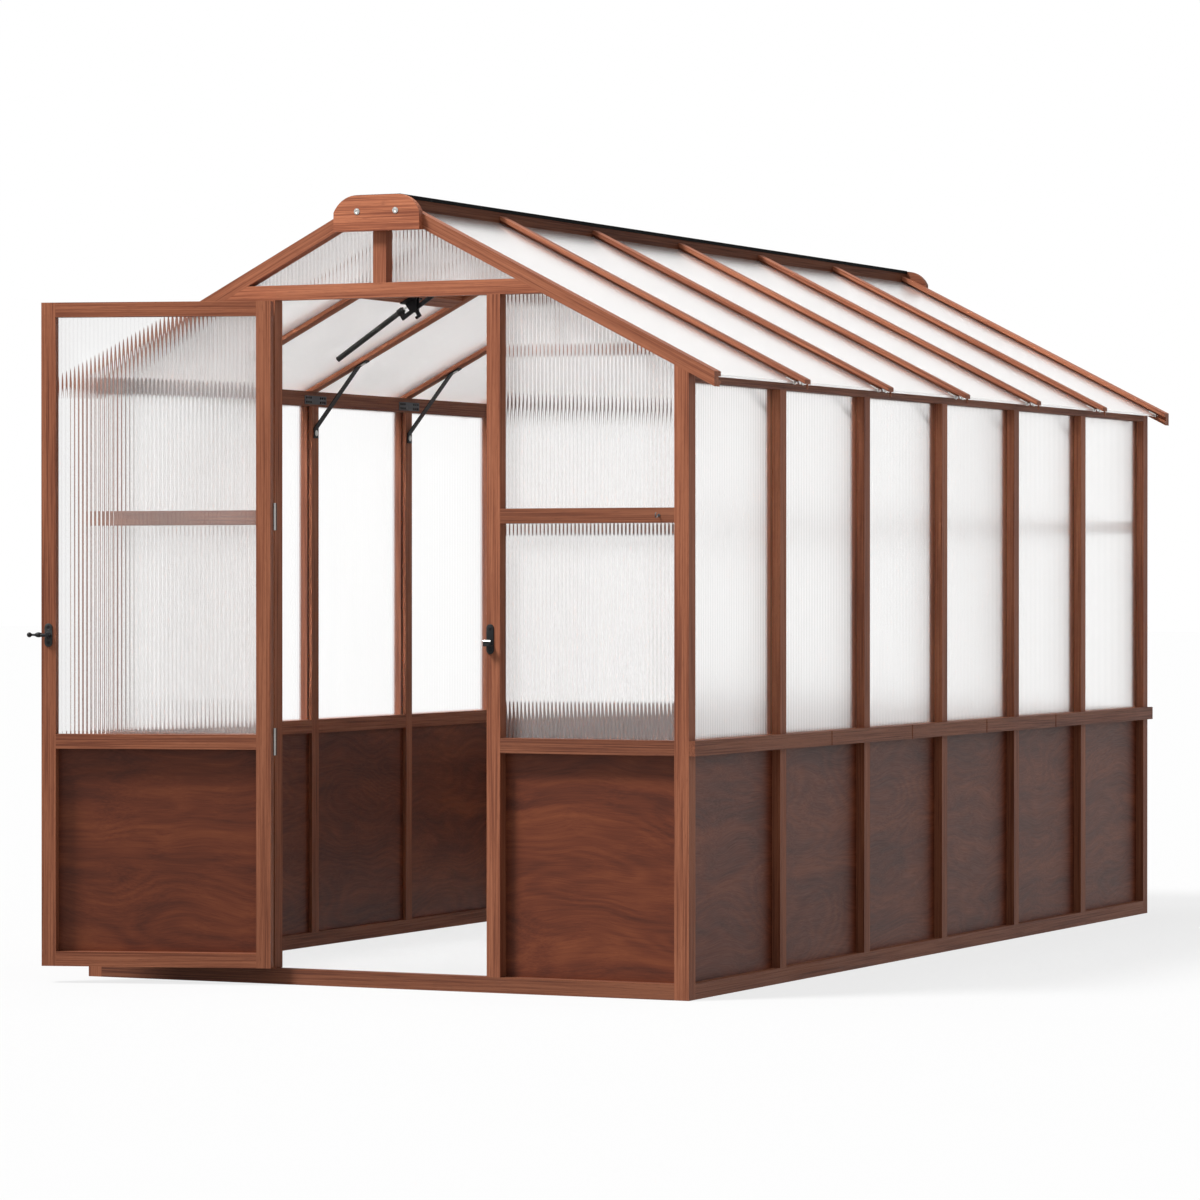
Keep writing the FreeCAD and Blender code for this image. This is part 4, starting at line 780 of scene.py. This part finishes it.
class GlazeHouse(bpy.types.Operator):
    """Glaze the walls, the door, the roof and the vent with twin-wall sheets"""
    bl_idname = "greenhouse.glaze_house"
    bl_label = "Glaze house"

    def execute(self, context):
        settings = context.scene.greenhouse_sheets
        for name, way, nodes in (
                ("wall_sheet_ends", "crossways", ("front_glazing", "rear_glazing")),
                ("wall_sheet_door", "door", ("door_glazing",))):
            finish_nodes(nodes, twin_wall(
                name, way, settings, settings.wall_tint, settings.end_light,
                bend=1.38, rough=0.03, opal=0.08))
        finish_nodes(("side_glazing_right", "side_glazing_left"), twin_wall(
            "wall_sheet_sides", "lengthways", settings, settings.wall_tint, settings.side_light,
            bend=1.06, rough=0.36, opal=0.0, gleam=settings.gleam))
        finish_nodes(("roof_glazing_right", "roof_glazing_left", "vent_glazing"), twin_wall(
            "roof_sheet", "lengthways", settings, settings.roof_tint, settings.roof_light,
            bend=1.08, rough=0.6, opal=0.34, gleam=settings.gleam, ripple=settings.roof_ripple))
        return {"FINISHED"}


class FluteSheets(bpy.types.Operator):
    """Shape the flutes of the walls' and the door's sheets"""
    bl_idname = "greenhouse.flute_sheets"
    bl_label = "Flute sheets"

    def execute(self, context):
        settings = context.scene.greenhouse_sheets
        for end in ("front", "rear"):
            sheets = [fluted_sheet(box, settings.flute, settings.end_ripple, gable=True)
                      for box in panes(f"{end}_glazing")]
            fit(join(sheets), f"{end}_fluted_sheets", "frame", "wall_sheet",
                "wall_sheet_ends", f"{end}_glazing")
        quarter = Matrix.Rotation(-QUARTER, 4, "Z")
        for side in ("right", "left"):
            sheet = join([fluted_sheet(box, settings.flute, settings.side_ripple)
                          for box in panes(f"side_glazing_{side}", quarter)])
            sheet.matrix_world = quarter.inverted() @ sheet.matrix_world
            fit(sheet, f"{side}_fluted_sheets", "frame", "wall_sheet",
                "wall_sheet_sides", f"side_glazing_{side}")
        shut = about_pin(DOOR_ANGLE)
        for box in panes("door_glazing", shut):
            sheet = fluted_sheet(box, settings.flute, settings.end_ripple, shut.translation.x)
            fit(swing_open(sheet), "door_fluted_sheet", "door", "wall_sheet", "wall_sheet_door",
                "door_glazing")
        return {"FINISHED"}


class CoatMetal(bpy.types.Operator):
    """Coat the black metalwork and plate the steel"""
    bl_idname = "greenhouse.coat_metal"
    bl_label = "Coat metal"

    def execute(self, context):
        settings = context.scene.greenhouse_metal
        finish_nodes(BLACK, coated_metal("black_coat", settings.black, 0.38))
        finish_nodes(("ridge_cap",), coated_metal("cap_coat", settings.cap, 0.60, shine=0.03))
        finish_nodes(("splice_plates",), coated_metal("dark_steel", settings.dark_steel, 0.36))
        finish_nodes(("opener_tube",), coated_metal("grey_coat", settings.grey, 0.42))
        finish_nodes(HINGES, hinge_steel(settings))
        finish_nodes(BRIGHT, plated_steel(settings))
        return {"FINISHED"}


class FitRafters(bpy.types.Operator):
    """Shape the inner rafters, whose tails keep only the top flange and a thin stem"""
    bl_idname = "greenhouse.fit_rafters"
    bl_label = "Fit rafters"

    def execute(self, context):
        settings = context.scene.greenhouse_timber
        for side, name in ((1, "right"), (-1, "left")):
            pattern = join([self.strip(side, *sizes) for sizes in (
                RAFTER_FLANGE, RAFTER_WEB, RAFTER_FOOT,
                (EAVE_REACH - settings.stem, EAVE_REACH, *TAIL_DROPS, settings.stem))])
            run = repeat(pattern, [Matrix.Translation((0.0, y, 0.0)) for y in BAY_LINES])
            bpy.data.objects.remove(pattern)
            fit(run, f"rafter_run_{name}", "frame", "frame_wood", "stained_timber_sloping",
                f"rafters_{name}")
        return {"FINISHED"}

    @staticmethod
    def strip(side, start, end, top_drop, low_drop, half_wide):
        """Sloping strip with plumb ends and eased edges."""
        middle = (start + end) / 2
        level = APEX - ROOF_SLOPE * start - (top_drop + low_drop) / 2
        block((side * middle, 0.0, level), (end - start, half_wide * 2, low_drop - top_drop))
        shape("EDGE")
        choose("EDGE", lambda edge: min(vert.co.x * side for vert in edge.verts) > middle)
        move(z=-ROOF_SLOPE * (end - start))
        choose_all()
        bpy.ops.mesh.bevel(offset=0.0008, segments=1)
        return close()


class FitLatchPlates(bpy.types.Operator):
    """Fit the round-ended latch plates on both faces of the door"""
    bl_idname = "greenhouse.fit_latch_plates"
    bl_label = "Fit latch plates"

    def execute(self, context):
        settings = context.scene.greenhouse_metal
        plates = []
        for face, facing in PLATE_FACES:
            plate = long_plate((LATCH_SIDE, face, LATCH_LEVEL), settings.plate, 0.0210,
                               PLATE_THICK, facing)
            for rise in PLATE_SCREW_RISES:
                begin()
                bpy.ops.mesh.primitive_cone_add(
                    vertices=18, radius1=0.0030, radius2=0.0062, depth=0.0024,
                    location=(LATCH_SIDE, face + facing * 0.0010, LATCH_LEVEL + rise),
                    rotation=(-QUARTER * facing, 0.0, 0.0))
                carve(plate, context.object)
            plates.append(plate)
        fit(swing_open(join(plates)), "latch_plate_pair", "door", "black_metal", "grey_coat",
            "latch_plates")
        return {"FINISHED"}


class FitLatchArm(bpy.types.Operator):
    """Turn the ball-ended latch arm with its boss and spindle"""
    bl_idname = "greenhouse.fit_latch_arm"
    bl_label = "Fit latch arm"

    def execute(self, context):
        rings = rounded([(0.0, 0.0052), (0.010, 0.0048), (0.026, 0.0042), (0.0420, 0.0115, 0.0072),
                         (0.0550, 0.0031), (0.0600, 0.0030), (0.0680, 0.0071, 0.0071),
                         (0.0749, 0.0008)])
        arm = turned((LATCH_SIDE, -0.035, LATCH_LEVEL), (1, 0, 0), rings, 20)
        boss = turned((LATCH_SIDE, -0.0250, LATCH_LEVEL), (0, -1, 0), [
            (0.0, 0.0085), (0.0020, 0.0085), (0.0030, 0.0078), (0.0140, 0.0074),
            (0.0165, 0.0062), (0.0178, 0.0030)], 20)
        spindle = turned((LATCH_SIDE, -0.0255, LATCH_LEVEL), (0, 1, 0), [
            (0.0, 0.0030), (0.0010, 0.0039), (0.0475, 0.0039), (0.0485, 0.0030)], 16)
        fit(swing_open(join([arm, boss, spindle])), "latch_turned_arm", "latch", "black_metal",
            "black_coat", "latch_arm")
        return {"FINISHED"}


class FitLatchKnob(bpy.types.Operator):
    """Turn the boss and the short thumb piece on the inside of the door"""
    bl_idname = "greenhouse.fit_latch_knob"
    bl_label = "Fit latch knob"

    def execute(self, context):
        stem = turned((LATCH_SIDE, 0.0230, LATCH_LEVEL), (0, 1, 0), [
            (0.0, 0.0088), (0.0020, 0.0088), (0.0030, 0.0078), (0.0100, 0.0074),
            (0.0122, 0.0060), (0.0129, 0.0030)], 20)
        thumb = turned((LATCH_SIDE, 0.0303, LATCH_LEVEL), (1, 0, 0), [
            (0.0, 0.0050), (0.0110, 0.0046), (0.0150, 0.0051), (0.0178, 0.0047),
            (0.0190, 0.0026)], 20)
        fit(swing_open(join([stem, thumb])), "latch_thumb_knob", "latch", "black_metal",
            "black_coat", "latch_knob")
        return {"FINISHED"}


class FitKeeper(bpy.types.Operator):
    """Fit the keeper with its trough on the right jamb, and a bright steel strip on its lip as a
    painted highlight
    """
    bl_idname = "greenhouse.fit_keeper"
    bl_label = "Fit keeper"

    def execute(self, context):
        low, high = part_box("latch_keeper")
        middle = (low.x + high.x) / 2
        radius = (high.x - low.x) / 2
        back, facing = PLATE_FACES[0]
        plate = long_plate((middle, back, (low.z + high.z) / 2), radius,
                           (high.z - low.z) / 2 - radius, PLATE_THICK, facing)
        block((middle, -0.034, KEEPER_FLOOR), (radius * 2, 0.022, PLATE_THICK))
        shape("FACE")
        choose_all()
        bpy.ops.mesh.bisect(plane_co=(middle, KEEPER_LIP, KEEPER_FLOOR), plane_no=(0.0, 1.0, 0.0))
        choose("FACE", lambda face: face.normal.z > 0.9
               and face.calc_center_median().y < KEEPER_LIP)
        extrude((0.0, 0.0, 0.0105))
        choose("EDGE", lambda edge: all(vert.co.y < KEEPER_LIP - 0.002 for vert in edge.verts)
               and (abs(edge.verts[0].co.x - edge.verts[1].co.x) < 1e-6
                    or max(vert.co.z for vert in edge.verts) < KEEPER_FLOOR + 0.0005))
        bpy.ops.mesh.bevel(offset=0.0022, segments=3)
        fit(join([plate, close()]), "latch_trough_keeper", "frame", "black_metal", "black_coat",
            "latch_keeper")
        # A bright plated strip along the lip's top edge, as a painted highlight.
        block((middle, STRIP_FACE, STRIP_LEVEL), (radius * 2, 0.0025, 0.004))
        shape("EDGE")
        choose("EDGE", lambda edge: min(vert.co.z for vert in edge.verts) > STRIP_LEVEL
               and max(vert.co.y for vert in edge.verts) < STRIP_FACE)
        move(y=0.0014)
        choose("EDGE", lambda edge: min(vert.co.z for vert in edge.verts) > STRIP_LEVEL)
        bpy.ops.mesh.bevel(offset=0.0004, segments=2)
        fit(close(), "keeper_painted_highlight_strip", "frame", "bright_steel", "plated_steel")
        return {"FINISHED"}


class FitOpenerLever(bpy.types.Operator):
    """Shape the opener's lever with its strap round the tube and its hooked lower jaw"""
    bl_idname = "greenhouse.fit_opener_lever"
    bl_label = "Fit opener lever"

    def execute(self, context):
        bar = self.bar(-0.235, 0.050, -0.006, 0.006)
        neck = self.bar(0.034, 0.050, 0.0055, 0.0115)
        stem = self.bar(-0.008, 0.003, -0.028, -0.0055)
        foot = self.bar(0.0025, 0.011, -0.028, -0.020)
        strap = turned((0.0, 0.0, TUBE_RISE), (1, 0, 0), [
            (0.034, 0.0100), (0.0346, 0.0106), (0.0494, 0.0106), (0.050, 0.0100)], 28)
        cylinder(28, 0.00805, 0.03, (0.042, 0.0, TUBE_RISE), (0.0, QUARTER, 0.0))
        carve(strap, context.object)
        lever = join([bar, neck, stem, foot, strap])
        lean = Matrix(((-math.cos(OPENER_TILT), 0.0, -math.sin(OPENER_TILT), OPENER_PIVOT.x),
                       (0.0, -1.0, 0.0, OPENER_PIVOT.y),
                       (-math.sin(OPENER_TILT), 0.0, math.cos(OPENER_TILT), OPENER_PIVOT.z),
                       (0.0, 0.0, 0.0, 1.0)))
        lever.matrix_world = lean @ lever.matrix_world
        fit(lever, "opener_strapped_lever", "opener_arm", "black_metal", "black_coat",
            "opener_lever")
        return {"FINISHED"}

    @staticmethod
    def bar(start, end, low, high):
        """Flat bar on edge with eased edges."""
        block(((start + end) / 2, 0.0, (low + high) / 2), (end - start, 0.0078, high - low))
        shape("EDGE")
        choose_all()
        bpy.ops.mesh.bevel(offset=0.0009, segments=2)
        return close()


class FitHook(bpy.types.Operator):
    """Bend the small screw hook on the middle rail"""
    bl_idname = "greenhouse.fit_hook"
    bl_label = "Fit hook"

    def execute(self, context):
        wire = context.scene.greenhouse_metal.hook_wire
        foot = (HOOK_SIDE, HOOK_RAIL, HOOK_LEVEL)
        begin()
        bpy.ops.mesh.primitive_circle_add(
            vertices=10, radius=wire, fill_type="NGON", location=foot,
            rotation=(QUARTER, 0.0, 0.0))
        shape("FACE")
        choose_all()
        extrude((0.0, -0.009, 0.0))
        bpy.ops.mesh.spin(steps=18, angle=math.radians(265), axis=(1.0, 0.0, 0.0),
                          center=(HOOK_SIDE, HOOK_MIDDLE, HOOK_LEVEL))
        hook = close()
        collar = turned(foot, (0, -1, 0), [
            (0.0, 0.0040), (0.0012, 0.0040), (0.0020, 0.0030)], 14)
        fit(join([hook, collar]), "bent_screw_hook", "frame", "bright_steel", "dark_steel",
            "screw_hook")
        return {"FINISHED"}


class DriveScrews(bpy.types.Operator):
    """Set the bolts and screws of the crown plates, braces, splices, hinges and latch"""
    bl_idname = "greenhouse.drive_screws"
    bl_label = "Drive screws"

    def execute(self, context):
        settings = context.scene.greenhouse_metal
        bright, dark, brown = "plated_steel", "black_coat", "hinge_steel"
        screw = pan_screw(settings.screw, 0.0016)
        flat = pan_screw(settings.screw, 0.0004)
        bolt = dome_bolt(settings.bolt)

        side_place, level = CROWN_BOLT
        crown = [((side * side_place, face, level), (0, facing, 0)) for side in (-1, 1)
                 for face, facing in CROWN_FACES]
        set_fixings("crown_bolt_set", bolt, crown, "frame", "bright_steel", bright, "crown_bolts")

        braces, splices = [], []
        for side in (-1, 1):
            for y in BAY_LINES:
                braces.append(((side * BRACE_FOOT[0], y, BRACE_FOOT[1]), (-side, 0, 0)))
                braces.append(((side * BRACE_HEAD[0], y, BRACE_HEAD[1]),
                               (-side * math.sin(ROOF_ANGLE), 0.0, -math.cos(ROOF_ANGLE))))
                splices += [((side * SPLICE_FACE, y + along, rise), (-side, 0, 0))
                            for along in SPLICE_STEPS for rise in SPLICE_LEVELS]
        set_fixings("brace_bolts", bolt, braces, "frame", "bright_steel", bright)
        set_fixings("splice_screws", screw, splices, "frame", "black_metal", dark)

        levels = [low + rise for low in HINGE_LEVELS for rise in HINGE_SCREW_RISES]
        jamb = [((-0.3215, HINGE_SCREW_DEPTH, level), (1, 0, 0)) for level in levels]
        door = [((-0.3205, HINGE_SCREW_DEPTH, level), (-1, 0, 0)) for level in levels]
        set_fixings("jamb_hinge_screws", flat, jamb, "frame", "bright_steel", brown)
        set_fixings("door_hinge_screws", flat, self.swung(door), "door", "bright_steel", brown)

        plates = [((LATCH_SIDE, face + facing * 0.0003, LATCH_LEVEL + rise), (0, facing, 0))
                  for face, facing in PLATE_FACES for rise in PLATE_SCREW_RISES]
        set_fixings("latch_plate_screws", flat, self.swung(plates), "door", "black_metal", dark)
        keeper = [(point, (0, -1, 0)) for point in KEEPER_SCREWS]
        set_fixings("keeper_screws", screw, keeper, "frame", "black_metal", dark)

        slope = Vector((-math.cos(ROOF_ANGLE), 0.0, -math.sin(ROOF_ANGLE)))
        up = Vector((-math.sin(ROOF_ANGLE), 0.0, math.cos(ROOF_ANGLE)))
        low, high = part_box("vent_hinge_sash_leaves")
        vent = [(VENT_PIN + Vector((0.0, start + along, 0.0)) + slope * 0.0125 - up * 0.0005, up)
                for start in (low.y, high.y - VENT_HINGE) for along in VENT_SCREW_STEPS]
        set_fixings("vent_hinge_screws", flat, vent, "vent", "bright_steel", bright)
        for pattern in (screw, flat, bolt):
            bpy.data.objects.remove(pattern)
        return {"FINISHED"}

    @staticmethod
    def swung(places):
        """Places on the shut door, moved to the open one."""
        turn = about_pin(-DOOR_ANGLE)
        return [(turn @ Vector(point), turn.to_3x3() @ Vector(facing)) for point, facing in places]


class SetStage(bpy.types.Operator):
    """Lay the pale floor and set the light and the camera"""
    bl_idname = "greenhouse.set_stage"
    bl_label = "Set stage"

    def execute(self, context):
        settings = context.scene.greenhouse_stage
        begin()
        bpy.ops.mesh.primitive_plane_add(size=160.0, location=(0.0, 0.0, -0.0005))
        floor = context.object
        floor.name = "pale_floor"
        floor.data.materials.append(self.floor_finish(settings))
        self.light(context, settings)
        self.camera(context, settings)
        return {"FINISHED"}

    @staticmethod
    def seen(finish):
        """1 for rays that look at the surroundings, 0 for the light they give."""
        path = finish.add("LightPath")
        looks = finish.maths("MAXIMUM", path["Is Camera Ray"], path["Is Glossy Ray"])
        looks = finish.maths("MAXIMUM", looks, path["Is Transmission Ray"])
        direct = finish.maths("LESS_THAN", path["Diffuse Depth"], 0.5)
        return finish.times(looks, direct)

    def floor_finish(self, settings):
        finish = Finish("pale_floor")
        speckle = finish.cloud(finish.place(), [0.4] * 3, detail=3.0)
        tint = finish.blend(speckle, [part * 0.98 for part in settings.floor], settings.floor)
        plain = finish.add("BsdfDiffuse", {"Color": tint})[0]
        white = finish.add("Emission", {"Strength": 1.0})[0]
        shown = finish.mix(settings.shadow, white, plain)
        dim = finish.add("BsdfDiffuse", {"Color": (0.28, 0.28, 0.28, 1.0)})[0]
        return finish.done(finish.mix(self.seen(finish), dim, shown))

    def light(self, context, settings):
        finish = Finish("even_light", "worlds")
        context.scene.world = finish.owner
        level = finish.between(self.seen(finish), 0.0, 1.0, settings.sky, 1.0)
        background = finish.add("Background", {
            "Color": (1.0, 1.0, 1.0, 1.0), "Strength": level})
        finish.add("OutputWorld", {"Surface": background[0]})
        begin()
        bpy.ops.object.light_add(type="SUN", location=SUN_FROM * 10,
                                 rotation=SUN_FROM.to_track_quat("Z", "Y").to_euler())
        sun = context.object
        sun.name = "soft_sun"
        sun.data.energy = settings.sun
        sun.data.angle = settings.sun_width

    def camera(self, context, settings):
        begin()
        bpy.ops.object.camera_add(location=CAMERA_PLACE,
                                  rotation=CAMERA_AHEAD.to_track_quat("-Z", "Y").to_euler())
        camera = context.object
        camera.name = "front_right_camera"
        camera.data.sensor_width = 36.0
        camera.data.lens = settings.lens
        camera.data.clip_end = 300.0
        context.scene.camera = camera
        context.scene.view_settings.view_transform = "Standard"


OPERATORS = (StainTimber, FigureBoards, GlazeHouse, FluteSheets, CoatMetal, FitRafters,
             FitLatchPlates, FitLatchArm, FitLatchKnob, FitKeeper, FitOpenerLever, FitHook,
             DriveScrews, SetStage)
SETTINGS = (("greenhouse_timber", TimberSettings), ("greenhouse_sheets", SheetSettings),
            ("greenhouse_metal", MetalSettings), ("greenhouse_stage", StageSettings))


class GreenhousePanel(bpy.types.Panel):
    """Settings and steps of the greenhouse"""
    bl_idname = "VIEW3D_PT_greenhouse"
    bl_label = "Greenhouse"
    bl_space_type = "VIEW_3D"
    bl_region_type = "UI"
    bl_category = "Greenhouse"

    def draw(self, context):
        for name, settings in SETTINGS:
            box = self.layout.box()
            for field in settings.__annotations__:
                box.prop(getattr(context.scene, name), field)
        for operator in OPERATORS:
            self.layout.operator(operator.bl_idname)


def register():
    for name, settings in SETTINGS:
        bpy.utils.register_class(settings)
        setattr(bpy.types.Scene, name, bpy.props.PointerProperty(type=settings))
    for operator in OPERATORS:
        bpy.utils.register_class(operator)
    bpy.utils.register_class(GreenhousePanel)


def unregister():
    bpy.utils.unregister_class(GreenhousePanel)
    for operator in reversed(OPERATORS):
        bpy.utils.unregister_class(operator)
    for name, settings in reversed(SETTINGS):
        delattr(bpy.types.Scene, name)
        bpy.utils.unregister_class(settings)


def main():
    register()
    for operator in OPERATORS:
        getattr(bpy.ops.greenhouse, operator.bl_idname.partition(".")[2])()


if __name__ == "__main__":
    main()
